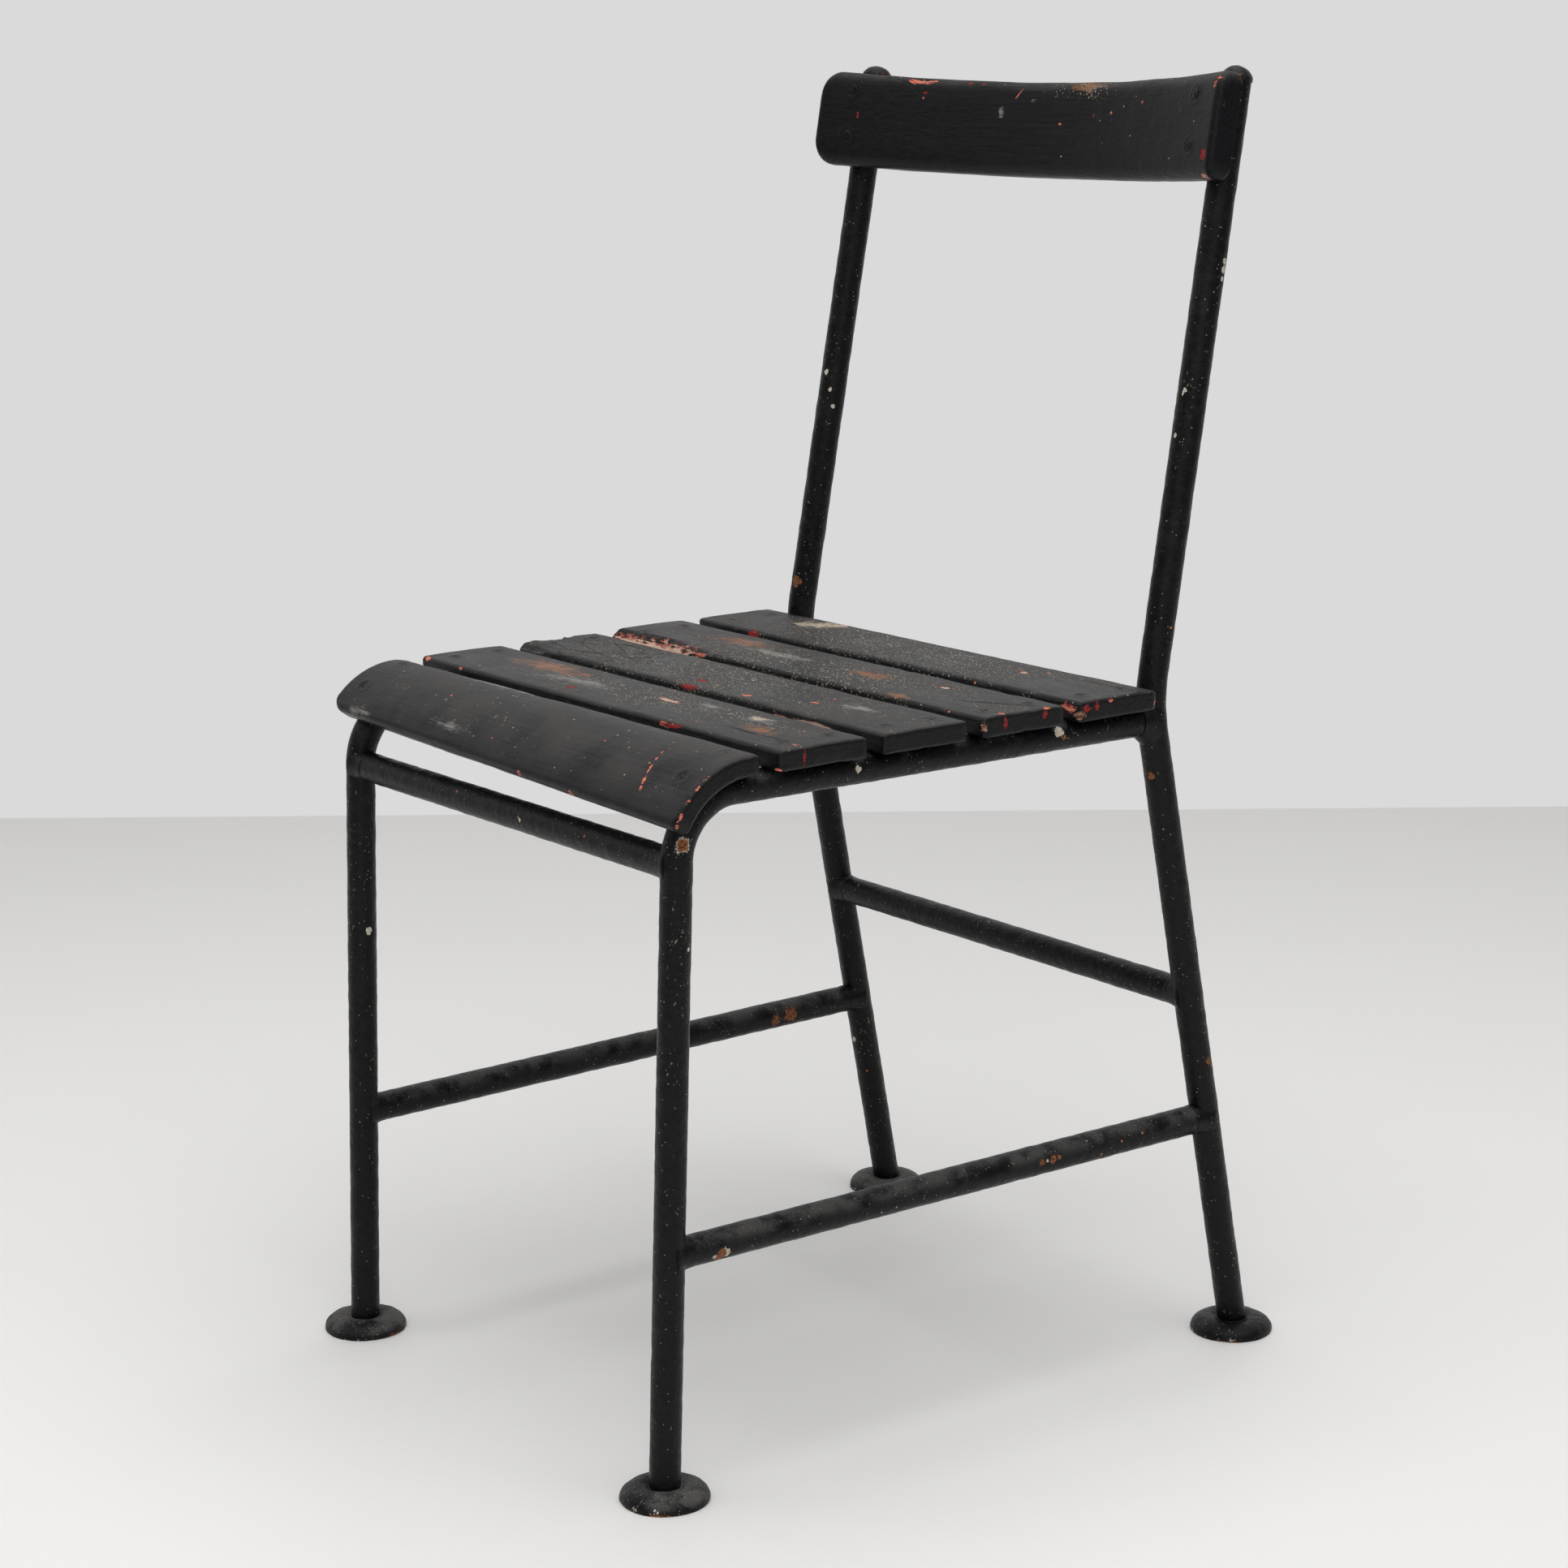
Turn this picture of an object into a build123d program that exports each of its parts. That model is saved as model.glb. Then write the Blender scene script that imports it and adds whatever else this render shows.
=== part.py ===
import math
import os

from build123d import *

# Sizes in millimetres, angles in degrees. +Z is up and the sitter faces -Y, so left is +X.

# Steel tube of the frame
tube_diameter = 19.05
tube_wall = 2.0
bend_radius = 40.0  # centreline, front leg into seat rail
kink_radius = 100.0  # centreline, rear leg at seat height
seam_turn = 40.0  # turns the seam of a swept tube away from its joints

# Stance: distances across the chair between tube axes
front_foot_spread = 353.0
front_corner_spread = 360.2
rear_foot_spread = 371.9
kink_spread = 366.8
upright_top_spread = 358.8

# Heights above the floor
overall_height = 832.5
seat_height = 450.3
kink_rise = 11.4  # from the seat rail's axis up to the rear leg's kink
rear_stretcher_height = 241.0
side_stretcher_height = 152.0  # at the front leg
side_stretcher_rise = 2.6  # gained on the way to the rear leg

# Leans away from the vertical
front_leg_lean = 1.94
rear_leg_rake = 10.76
back_lean = 10.2

# Seat slats
flat_slat_count = 4
slat_overhang = 7.3  # past the outside of the rails at the back
slat_width = 65.0
slat_thickness = 13.0
slat_gap = 12.0
slat_corner_radius = 3.5
slat_edge_radius = 2.5
front_slat_flat = 8.0  # straight stretch behind the bend
front_slat_lip_angle = 29.5  # lower edge above the level of the bend's centre
front_slat_lip_radius = 5.0

# Back rest board
rest_overhang = 12.0  # past the outside of the uprights
rest_height = 62.5
rest_thickness = 17.0
rest_bow_radius = 668.0  # front face
rest_drop = 4.0  # top edge below the end of the uprights
rest_corner_radius = 11.0
rest_front_edge_radius = 6.0
rest_back_edge_radius = 3.0

# Feet
foot_diameter = 54.5
foot_height = 9.6
foot_rim = 2.6  # straight part of the outer wall
foot_dish = 2.4  # fall of the top towards the leg
foot_floor = 3.0  # metal left under the leg

# Domed plugs of the uprights
cap_height = 7.0
cap_spigot_length = 12.0

# Countersunk screws
screw_head_diameter = 8.0
screw_shank_diameter = 4.0
screw_reach = 3.0  # tip beyond the tube's wall
slat_screw_sink = 0.3  # head below the wood
slat_screw_inset = 15.5  # from the long edges of a flat slat
front_slat_screw_angles = (56.0, 86.0)  # up round the bend from the front
rest_screw_crown = 1.0  # raised heads
rest_screw_drops = (11.5, 43.5)  # below the top edge of the board

# Weld beads
weld_leg = 4.0  # along the tube that butts
weld_side = 1.2  # proud of the tubes at the flanks
weld_lip = 0.4  # thickness left at the thin end

# Clearances
cope_gap = 0.2
weld_gap = 0.1
seat_gap = 0.2
upright_gap = 0.3
rest_gap = 0.25
foot_gap = 0.15
cap_gap = 0.15
screw_gap = 0.15

# Side view, worked out back from the front feet
tube_radius = tube_diameter / 2
bore_radius = tube_radius - tube_wall
lean_slope = math.tan(math.radians(front_leg_lean))
rake_slope = math.tan(math.radians(rear_leg_rake))
back_slope = math.tan(math.radians(back_lean))
rail_height = seat_height - slat_thickness - seat_gap - tube_radius
bend_height = rail_height - bend_radius
bend_run = bend_height * lean_slope + bend_radius / math.cos(math.radians(front_leg_lean))
slat_length = kink_spread + tube_diameter + 2 * slat_overhang
slat_pitch = slat_width + slat_gap
slat_field_run = bend_run + front_slat_flat
upright_front_run = slat_field_run + flat_slat_count * slat_pitch + upright_gap
kink_height = rail_height + kink_rise
half_kink = math.radians((rear_leg_rake + back_lean) / 2)
kink_skew = math.radians((rear_leg_rake - back_lean) / 2)
kink_ease = kink_radius * (math.cos(kink_skew) / math.cos(half_kink) - 1)
kink_run = upright_front_run + tube_radius - kink_ease
rear_foot_run = kink_run + kink_height * rake_slope
center_run = (rear_foot_run + foot_height * (lean_slope - rake_slope)) / 2  # midway between the feet

# Domed end of an upright, a cap of a sphere whose top is the chair's highest point
cap_sphere = (tube_radius**2 + cap_height**2) / (2 * cap_height)
cap_drop = cap_sphere + (cap_height - cap_sphere) * math.cos(math.radians(back_lean))
top_height = overall_height - cap_drop
top_run = kink_run + (top_height - kink_height) * back_slope


def place(half_of, run, height, side):
    return Vector(side * half_of / 2, run - center_run, height)


def at_height(low, high, height):
    return low + (high - low) * ((height - low.Z) / (high.Z - low.Z))


def round_bar(path, radius):
    section = Plane(path @ 0, z_dir=path % 0) * Rot(Z=seam_turn) * Circle(radius)
    return sweep(section, path=path)


def hollow_tube(path):
    return round_bar(path, tube_radius) - round_bar(path, bore_radius)


def stand_on(bar, height):
    return split(bar, bisect_by=Plane.XY.offset(height), keep=Keep.TOP)


# Key points and centrelines of one side, +1 left and -1 right
def front_foot(side):
    return place(front_foot_spread, 0, 0, side)


def front_corner(side):
    return place(front_corner_spread, rail_height * lean_slope, rail_height, side)


def rear_foot(side):
    return place(rear_foot_spread, rear_foot_run, 0, side)


def kink(side):
    return place(kink_spread, kink_run, kink_height, side)


def upright_top(side):
    return place(upright_top_spread, top_run, top_height, side)


def rail_end(side):
    return at_height(rear_foot(side), kink(side), rail_height)


def front_path(side):
    return FilletPolyline(front_foot(side), front_corner(side), rail_end(side), radius=bend_radius)


def rear_path(side):
    return FilletPolyline(rear_foot(side), kink(side), upright_top(side), radius=kink_radius)


def front_leg_line(side):
    return Line(front_foot(side), front_corner(side))


def rear_leg_line(side):
    return Line(rear_foot(side), kink(side))


def front_rail_line():
    ends = [at_height(front_foot(side), front_corner(side), bend_height) for side in (-1, 1)]
    return Line(*ends)


def rear_stretcher_line():
    ends = [at_height(rear_foot(side), kink(side), rear_stretcher_height) for side in (-1, 1)]
    return Line(*ends)


def side_stretcher_line(side):
    front = at_height(front_foot(side), front_corner(side), side_stretcher_height)
    rear = at_height(rear_foot(side), kink(side), side_stretcher_height + side_stretcher_rise)
    return Line(front, rear)


def rail_point(side, y):
    start = front_corner(side)
    end = rail_end(side)
    return start + (end - start) * ((y - start.Y) / (end.Y - start.Y))


# Screws, drawn head up with the top of the cone at the origin
def screw(length, crown=0.0):
    head_radius = screw_head_diameter / 2
    shank_radius = screw_shank_diameter / 2
    cone = head_radius - shank_radius
    shank = ((0, -length), (shank_radius, -length), (shank_radius, -cone))
    outline = Polyline((0, crown), *shank, (head_radius, 0))
    if crown:
        top = ThreePointArc(*crown_arc(head_radius, crown))
    else:
        top = Line((head_radius, 0), (0, 0))
    return revolve(make_face(Plane.XZ * (outline + top)), axis=Axis.Z)


def crown_arc(radius, crown):
    sphere = (radius**2 + crown**2) / (2 * crown)
    mid = radius / 2
    return (radius, 0), (mid, crown - sphere + math.sqrt(sphere**2 - mid**2)), (0, crown)


def screw_hole(depth, sink=0.0):
    head_radius = screw_head_diameter / 2 + screw_gap
    shank_radius = screw_shank_diameter / 2 + screw_gap
    cone = head_radius - shank_radius
    outline = Polyline(
        (0, sink + screw_gap),
        (0, -depth),
        (shank_radius, -depth),
        (shank_radius, -cone),
        (head_radius, 0),
        (head_radius, sink + screw_gap),
        close=True,
    )
    return revolve(make_face(Plane.XZ * outline), axis=Axis.Z)


def wall_hole():
    upward = (Align.CENTER, Align.CENTER, Align.MIN)
    return Cylinder(screw_shank_diameter / 2 + screw_gap, tube_diameter, align=upward)


# Each screw stands on the plane of its head; the plane under it is centred on the tube's axis
slat_screw_length = slat_thickness - slat_screw_sink + seat_gap + tube_wall + screw_reach
rest_screw_length = rest_thickness + rest_gap + tube_wall + screw_reach


def slat_start(index):
    return slat_field_run - center_run + slat_gap + index * slat_pitch


def flat_slat_axes(index):
    near = slat_start(index) + slat_screw_inset
    far = slat_start(index) + slat_width - slat_screw_inset
    return [Plane(rail_point(side, y)) for side in (-1, 1) for y in (near, far)]


def front_slat_axes():
    planes = []
    for side in (-1, 1):
        for angle in front_slat_screw_angles:
            turn = math.radians(angle)
            out = Vector(0, -math.cos(turn), math.sin(turn))
            on_bend = Vector(0, bend_run - center_run, bend_height) + out * bend_radius
            foot = rail_point(side, on_bend.Y)
            planes.append(Plane((foot.X, on_bend.Y, on_bend.Z), x_dir=(1, 0, 0), z_dir=out))
    return planes


def heads(planes, lift):
    return [plane.offset(lift) for plane in planes]


slat_head_lift = tube_radius + seat_gap + slat_thickness - slat_screw_sink
rest_head_lift = tube_radius + rest_gap + rest_thickness


# Back rest: a plane at the ends of the uprights, local Y backwards, local Z up the back
def back_plane():
    lean = math.radians(back_lean)
    origin = (0, top_run - center_run, top_height)
    return Plane(origin, x_dir=(1, 0, 0), z_dir=(0, math.sin(lean), math.cos(lean)))


def upright_half_at(drop):
    rise = drop * math.cos(math.radians(back_lean))
    return at_height(kink(1), upright_top(1), top_height - rise).X


rest_length = upright_top_spread + tube_diameter + 2 * rest_overhang  # chord of the front face
rest_middle_drop = rest_drop + rest_height / 2
rest_back_radius = rest_bow_radius + rest_thickness
rest_tube_reach = rest_back_radius + rest_gap + tube_radius
rest_tube_angle = math.asin(upright_half_at(rest_middle_drop) / rest_tube_reach)
rest_bow_center = -rest_tube_reach * math.cos(rest_tube_angle)


def rest_axes():
    planes = []
    for side in (-1, 1):
        for drop in rest_screw_drops:
            depth = rest_drop + drop
            spot = Vector(side * upright_half_at(depth), 0, -depth)
            out = Vector(-side * math.sin(rest_tube_angle), -math.cos(rest_tube_angle), 0)
            local = Plane(spot, x_dir=(0, 0, 1), z_dir=out)
            planes.append(Plane(back_plane().location * local.location))
    return planes


def drill(shape, planes, cutter):
    for plane in planes:
        shape -= plane * cutter
    return shape


# Frame
def front_leg_rail(side):
    tube = stand_on(hollow_tube(front_path(side)), foot_floor + foot_gap)
    tube -= round_bar(rear_path(side), tube_radius + cope_gap)
    planes = front_slat_axes()
    for index in range(flat_slat_count):
        planes += flat_slat_axes(index)
    return drill(tube, [plane for plane in planes if plane.origin.X * side > 0], wall_hole())


def rear_leg_upright(side):
    tube = stand_on(hollow_tube(rear_path(side)), foot_floor + foot_gap)
    return drill(tube, [plane for plane in rest_axes() if plane.origin.X * side > 0], wall_hole())


def coped_stretcher(line, mains):
    tube = hollow_tube(line)
    for main in mains:
        tube -= round_bar(main, tube_radius + cope_gap)
    return tube


def upright_cap(side):
    spigot_radius = bore_radius - cap_gap
    outline = Polyline(
        (0, cap_height),
        (0, -cap_spigot_length),
        (spigot_radius, -cap_spigot_length),
        (spigot_radius, 0),
        (tube_radius, 0),
    )
    dome = ThreePointArc(*crown_arc(tube_radius, cap_height))
    cap = revolve(make_face(Plane.XZ * (outline + dome)), axis=Axis.Z)
    return Plane(upright_top(side), z_dir=upright_top(side) - kink(side)) * cap


def foot(low, high, leg):
    radius = foot_diameter / 2
    middle = at_height(low, high, foot_height)
    edge = foot_height - foot_rim
    crown = (radius - edge, foot_height)
    dish = (tube_radius, foot_height - foot_dish)
    outline = Polyline(dish, (0, foot_height - foot_dish), (0, 0), (radius, 0), (radius, foot_rim))
    shoulder = RadiusArc((radius, foot_rim), crown, -edge)
    slope = TangentArc(crown, dish, tangent=(-1, 0))
    disc = revolve(make_face(Plane.XZ * (outline + shoulder + slope)), axis=Axis.Z)
    socket = stand_on(round_bar(leg, tube_radius + foot_gap), foot_floor)
    return Pos(middle.X, middle.Y) * disc - socket


# Weld metal: a tapered collar round the end of the tube that butts
def weld_bead(line, main_path, top=None):
    along = line % 0
    across = (main_path % 0).cross(along)
    plane = Plane(line @ 0, x_dir=across, z_dir=along)
    reach = tube_radius + weld_leg
    taper = (weld_leg - weld_lip) * reach / weld_leg
    wide = plane * Ellipse(tube_radius + weld_side, tube_radius + weld_lip + taper)
    narrow = plane.offset(reach) * Circle(tube_radius + weld_lip)
    bead = loft([wide, narrow])
    bead -= round_bar(line, tube_radius + weld_gap)
    bead -= round_bar(main_path, tube_radius + cope_gap)
    return bead if top is None else split(bead, bisect_by=Plane.XY.offset(top), keep=Keep.BOTTOM)


def reversed_line(line):
    return Line(line @ 1, line @ 0)


def stretcher_welds(line, first_main, last_main):
    return [weld_bead(line, first_main), weld_bead(reversed_line(line), last_main)]


def seat_rail_weld(side):
    rail = Line(rail_end(side), front_corner(side))
    return weld_bead(rail, rear_path(side), top=rail_height + tube_radius - weld_side)


# Seat
def flat_slat(index):
    start = slat_start(index)
    middle = rail_height + tube_radius + seat_gap + slat_thickness / 2
    board = Pos(0, start + slat_width / 2, middle) * Box(slat_length, slat_width, slat_thickness)
    board = fillet(board.edges().filter_by(Axis.Z), slat_corner_radius)
    board = fillet(board.faces().sort_by(Axis.Z)[-1].edges(), slat_edge_radius)
    hole = screw_hole(2 * slat_thickness, slat_screw_sink)
    return drill(board, heads(flat_slat_axes(index), slat_head_lift), hole)


def front_slat():
    inner = bend_radius + tube_radius + seat_gap
    outer = inner + slat_thickness
    sweep_angle = 90 - front_slat_lip_angle
    start = 90
    under = CenterArc((0, 0), inner, start, sweep_angle)
    over = CenterArc((0, 0), outer, start, sweep_angle)
    back = Polyline(under @ 0, (front_slat_flat, inner), (front_slat_flat, outer), over @ 0)
    lip = Line(under @ 1, over @ 1)
    center = (0, bend_run - center_run, bend_height)
    side_view = Plane(center, x_dir=(0, 1, 0), z_dir=(1, 0, 0))
    face = make_face(side_view * (under + over + back + lip))
    board = extrude(face, amount=slat_length / 2, both=True)
    long_edges = board.edges().filter_by(Axis.X)
    board = fillet(long_edges.sort_by(Axis.Y)[:2], front_slat_lip_radius)
    ends = board.faces().filter_by(Axis.X)
    board = fillet(ends.edges(), slat_edge_radius)
    hole = screw_hole(2 * slat_thickness, slat_screw_sink)
    return drill(board, heads(front_slat_axes(), slat_head_lift), hole)


def slat_screws(planes):
    return [plane * screw(slat_screw_length) for plane in heads(planes, slat_head_lift)]


# Back rest
def back_rest():
    half_angle = math.degrees(math.asin(rest_length / 2 / rest_bow_radius))
    start = 90 - half_angle
    center = (0, rest_bow_center)
    front = CenterArc(center, rest_bow_radius, start, 2 * half_angle)
    back = CenterArc(center, rest_back_radius, start, 2 * half_angle)
    plan = make_face(front + back + Line(front @ 0, back @ 0) + Line(front @ 1, back @ 1))
    board = Pos(0, 0, -rest_drop - rest_height) * extrude(plan, amount=rest_height)
    ends = board.faces().sort_by(Axis.X)
    corners = [edge for end in (ends[0], ends[-1]) for edge in end.edges().filter_by(Plane.XY)]
    board = fillet(corners, rest_corner_radius)
    bowed = board.faces().filter_by(GeomType.CYLINDER).sort_by(SortBy.AREA)[-2:]
    by_radius = sorted(bowed, key=lambda face: face.radius)
    board = fillet(by_radius[0].outer_wire().edges(), rest_front_edge_radius)
    bowed = board.faces().filter_by(GeomType.CYLINDER).sort_by(SortBy.AREA)[-2:]
    by_radius = sorted(bowed, key=lambda face: face.radius)
    board = fillet(by_radius[-1].outer_wire().edges(), rest_back_edge_radius)
    hole = screw_hole(2 * rest_thickness, rest_screw_crown)
    return drill(back_plane() * board, heads(rest_axes(), rest_head_lift), hole)


def rest_screws():
    return [plane * screw(rest_screw_length, rest_screw_crown) for plane in heads(rest_axes(), rest_head_lift)]


def chair():
    sides = {"left": 1, "right": -1}
    nodes = {}
    for name, side in sides.items():
        nodes[f"front_leg_rail_{name}"] = [front_leg_rail(side)]
        nodes[f"rear_leg_upright_{name}"] = [rear_leg_upright(side)]
        nodes[f"upright_cap_{name}"] = [upright_cap(side)]
        nodes[f"foot_front_{name}"] = [foot(front_foot(side), front_corner(side), front_path(side))]
        nodes[f"foot_rear_{name}"] = [foot(rear_foot(side), kink(side), rear_path(side))]
        legs = [front_leg_line(side), rear_leg_line(side)]
        line = side_stretcher_line(side)
        nodes[f"side_stretcher_{name}"] = [coped_stretcher(line, legs)]
        nodes[f"side_stretcher_welds_{name}"] = stretcher_welds(line, *legs)
    front_legs = [front_path(side) for side in (-1, 1)]
    rear_legs = [rear_leg_line(side) for side in (-1, 1)]
    nodes["front_cross_rail"] = [coped_stretcher(front_rail_line(), front_legs)]
    nodes["front_cross_rail_welds"] = stretcher_welds(front_rail_line(), *front_legs)
    nodes["rear_stretcher"] = [coped_stretcher(rear_stretcher_line(), rear_legs)]
    nodes["rear_stretcher_welds"] = stretcher_welds(rear_stretcher_line(), *rear_legs)
    nodes["seat_rail_welds"] = [seat_rail_weld(side) for side in (-1, 1)]
    nodes["front_seat_slat"] = [front_slat()]
    nodes["front_seat_slat_screws"] = slat_screws(front_slat_axes())
    for index in range(flat_slat_count):
        number = index + 2
        nodes[f"seat_slat_{number}"] = [flat_slat(index)]
        nodes[f"seat_slat_{number}_screws"] = slat_screws(flat_slat_axes(index))
    nodes["back_rest"] = [back_rest()]
    nodes["back_rest_screws"] = rest_screws()
    return nodes


os.makedirs("parts", exist_ok=True)
for name, pieces in chair().items():
    solids = [solid for piece in pieces for solid in piece.solids()]
    export_step(solids[0] if len(solids) == 1 else Compound(children=solids), f"parts/{name}.step")
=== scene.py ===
import itertools
import math

import bmesh
import bpy
import numpy as np
from mathutils import Matrix, Vector


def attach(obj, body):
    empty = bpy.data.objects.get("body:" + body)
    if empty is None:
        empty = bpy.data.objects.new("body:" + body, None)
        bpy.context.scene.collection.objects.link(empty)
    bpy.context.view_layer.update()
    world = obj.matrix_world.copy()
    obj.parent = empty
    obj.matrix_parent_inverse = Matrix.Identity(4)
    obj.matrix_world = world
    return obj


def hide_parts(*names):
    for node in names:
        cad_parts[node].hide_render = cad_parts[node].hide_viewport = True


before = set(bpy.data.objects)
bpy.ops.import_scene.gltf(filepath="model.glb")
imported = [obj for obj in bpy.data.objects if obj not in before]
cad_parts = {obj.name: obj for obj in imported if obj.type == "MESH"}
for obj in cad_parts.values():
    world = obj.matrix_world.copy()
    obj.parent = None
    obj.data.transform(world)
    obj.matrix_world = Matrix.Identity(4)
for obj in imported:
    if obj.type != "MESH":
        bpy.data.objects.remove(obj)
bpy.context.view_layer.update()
mm = 0.001
sides = {"left": 1, "right": -1}


class Wire:  # a socket that takes part in sums, so 1 - mask reads as it should
    def __init__(self, bench, socket):
        self.bench = bench
        self.socket = socket

    def math(self, operation, first, second):
        return self.bench.add("ShaderNodeMath", {"operation": operation}, {0: first, 1: second})

    def __add__(self, other):
        return self.math("ADD", self, other)

    __radd__ = __add__

    def __sub__(self, other):
        return self.math("SUBTRACT", self, other)

    def __rsub__(self, other):
        return self.math("SUBTRACT", other, self)

    def __mul__(self, other):
        return self.math("MULTIPLY", self, other)

    __rmul__ = __mul__

    def __truediv__(self, other):
        return self.math("DIVIDE", self, other)

    def __or__(self, other):  # the larger of two masks
        return self.math("MAXIMUM", self, other)


class NodeBench:  # adds nodes to one tree: settings first, then socket values and links
    def __init__(self, tree):
        self.tree = tree

    def add(self, kind, settings=None, inputs=None, out=0):
        node = self.tree.nodes.new(kind)
        for key, value in (settings or {}).items():
            setattr(node, key, value)
        for key, value in (inputs or {}).items():
            if isinstance(value, Wire):
                self.tree.links.new(value.socket, node.inputs[key])
            else:
                node.inputs[key].default_value = value
        return Wire(self, node.outputs[out]) if node.outputs else None


class Finish(NodeBench):  # one procedural material on Object coordinates, sizes in millimetres
    def __init__(self, name):
        self.material = bpy.data.materials.new(name)
        self.material.use_nodes = True
        super().__init__(self.material.node_tree)
        self.tree.nodes.clear()
        self.place = self.add("ShaderNodeTexCoord", out="Object")

    def scaled(self, size, stretch, shift):
        scale = [1 / (mm * size * s) for s in stretch]
        inputs = {"Vector": self.place, "Location": (shift, shift, shift), "Scale": scale}
        return self.add("ShaderNodeMapping", None, inputs)

    def noise(self, size, detail=3.0, stretch=(1, 1, 1), rough=0.55, shift=0.0):
        spot = self.scaled(size, stretch, shift)
        inputs = {"Vector": spot, "Scale": 1.0, "Detail": detail, "Roughness": rough}
        return self.add("ShaderNodeTexNoise", None, inputs)

    def cells(self, size, shift=0.0, out="Distance", stretch=(1, 1, 1), feature="F1"):
        spot = self.scaled(size, stretch, shift)
        return self.add("ShaderNodeTexVoronoi", {"feature": feature}, {"Vector": spot, "Scale": 1.0}, out)

    def field(self, name):
        return self.add("ShaderNodeAttribute", {"attribute_name": name}, out="Fac")

    def step(self, value, low, high):
        settings = {"interpolation_type": "SMOOTHSTEP"}
        return self.add("ShaderNodeMapRange", settings, {"Value": value, "From Min": low, "From Max": high})

    def mix(self, factor, first, second):
        first, second = ((*c, 1) if isinstance(c, tuple) else c for c in (first, second))
        return self.add("ShaderNodeMix", {"data_type": "RGBA"}, {0: factor, 6: first, 7: second}, 2)

    def dots(self, size, share, radius, shift):  # sparse round specks, one cell in so many
        pick = self.add("ShaderNodeSeparateColor", None, {"Color": self.cells(size, shift, "Color")})
        return self.step(pick, share, share - 0.01) * self.step(self.cells(size, shift), radius, radius * 0.6)

    def upward(self):
        normal = self.add("ShaderNodeNewGeometry", out="Normal")
        return self.add("ShaderNodeSeparateXYZ", None, {"Vector": normal}, "Z")

    def close(self, color, roughness, height, distance, specular=0.5):
        bump = self.add("ShaderNodeBump", None, {"Height": height, "Strength": 1.0, "Distance": distance})
        values = {"Base Color": color, "Roughness": roughness, "Normal": bump, "Specular IOR Level": specular}
        shader = self.add("ShaderNodeBsdfPrincipled", None, values)
        self.add("ShaderNodeOutputMaterial", None, {"Surface": shader})
        return self.material


# where the photographer stood: metres and degrees, lens for a square 36 mm frame
viewpoint = dict(place=(1.74239, -1.31059, 0.85340), yaw=53.135, pitch=12.376, roll=0.435, lens=78.443)


def addCamera(v):
    yaw, pitch, roll = (math.radians(v[k]) for k in ("yaw", "pitch", "roll"))
    ahead = Vector((-math.sin(yaw) * math.cos(pitch), math.cos(yaw) * math.cos(pitch), -math.sin(pitch)))
    level = Vector((math.cos(yaw), math.sin(yaw), 0))
    down = ahead.cross(level)
    right = math.cos(roll) * level + math.sin(roll) * down
    up = math.sin(roll) * level - math.cos(roll) * down
    turn = Matrix((right, up, -ahead)).transposed().to_4x4()
    data = bpy.data.cameras.new("photoCamera")
    data.lens = v["lens"]
    data.sensor_width = 36
    data.sensor_fit = "HORIZONTAL"
    data.clip_end = 60
    camera = bpy.data.objects.new("photoCamera", data)
    camera.matrix_world = Matrix.Translation(v["place"]) @ turn
    bpy.context.scene.collection.objects.link(camera)
    bpy.context.scene.camera = camera


# pale studio: the floor ends behind the chair, the backdrop is bright, and a dim room in front keeps the paint black
studio = dict(
    floor=(0.88, 0.87, 0.855), floorBehind=1.56, floorAhead=14.0, floorSide=9.0,
    backdrop=0.70, room=0.14, turn=(0.05, 0.75),
)
softBoxes = dict(  # place, aim, width, height, watts
    overheadBox=((1.1, -0.7, 3.0), (1.1, -0.7, 0), 4.4, 4.4, 115),
    sideBox=((-1.9, -2.3, 2.2), (0, 0, 0.5), 1.2, 1.6, 7),
    fillBox=((2.3, -1.75, 1.25), (0.1, 0, 0.55), 0.8, 1.2, 7),
)


def addFloor(corners, color):
    finish = Finish("studioFloor")
    tone = finish.mix(finish.noise(260, 3), tuple(c * 0.97 for c in color), color)
    mesh = bpy.data.meshes.new("studioFloor")
    mesh.from_pydata(corners, [], [(0, 1, 2, 3)])
    mesh.materials.append(finish.close(tone, 0.55, finish.noise(3, 2), 0.0002, 0.12))
    floor = bpy.data.objects.new("studioFloor", mesh)
    bpy.context.scene.collection.objects.link(floor)


def addStudio(s):
    yaw = math.radians(viewpoint["yaw"])
    back = Vector((-math.sin(yaw), math.cos(yaw), 0))
    side = Vector((math.cos(yaw), math.sin(yaw), 0))
    left, right = (back * s["floorBehind"] + side * w for w in (-s["floorSide"], s["floorSide"]))
    ahead = back * s["floorAhead"]
    addFloor([left, left - ahead, right - ahead, right], s["floor"])
    world = bpy.data.worlds.new("studioRoom")
    world.use_nodes = True
    world.node_tree.nodes.clear()
    bench = NodeBench(world.node_tree)
    way = bench.add("ShaderNodeTexCoord", out="Generated")
    facing = bench.add("ShaderNodeVectorMath", {"operation": "DOT_PRODUCT"}, {0: way, 1: back}, "Value")
    low, high = s["turn"]
    limits = {"Value": facing, "From Min": low, "From Max": high, "To Min": s["room"], "To Max": s["backdrop"]}
    glow = bench.add("ShaderNodeMapRange", {"interpolation_type": "SMOOTHSTEP"}, limits)
    light = bench.add("ShaderNodeBackground", None, {"Color": (1, 1, 1, 1), "Strength": glow})
    bench.add("ShaderNodeOutputWorld", None, {"Surface": light})
    bpy.context.scene.world = world
    bpy.context.scene.view_settings.view_transform = "Standard"


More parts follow.
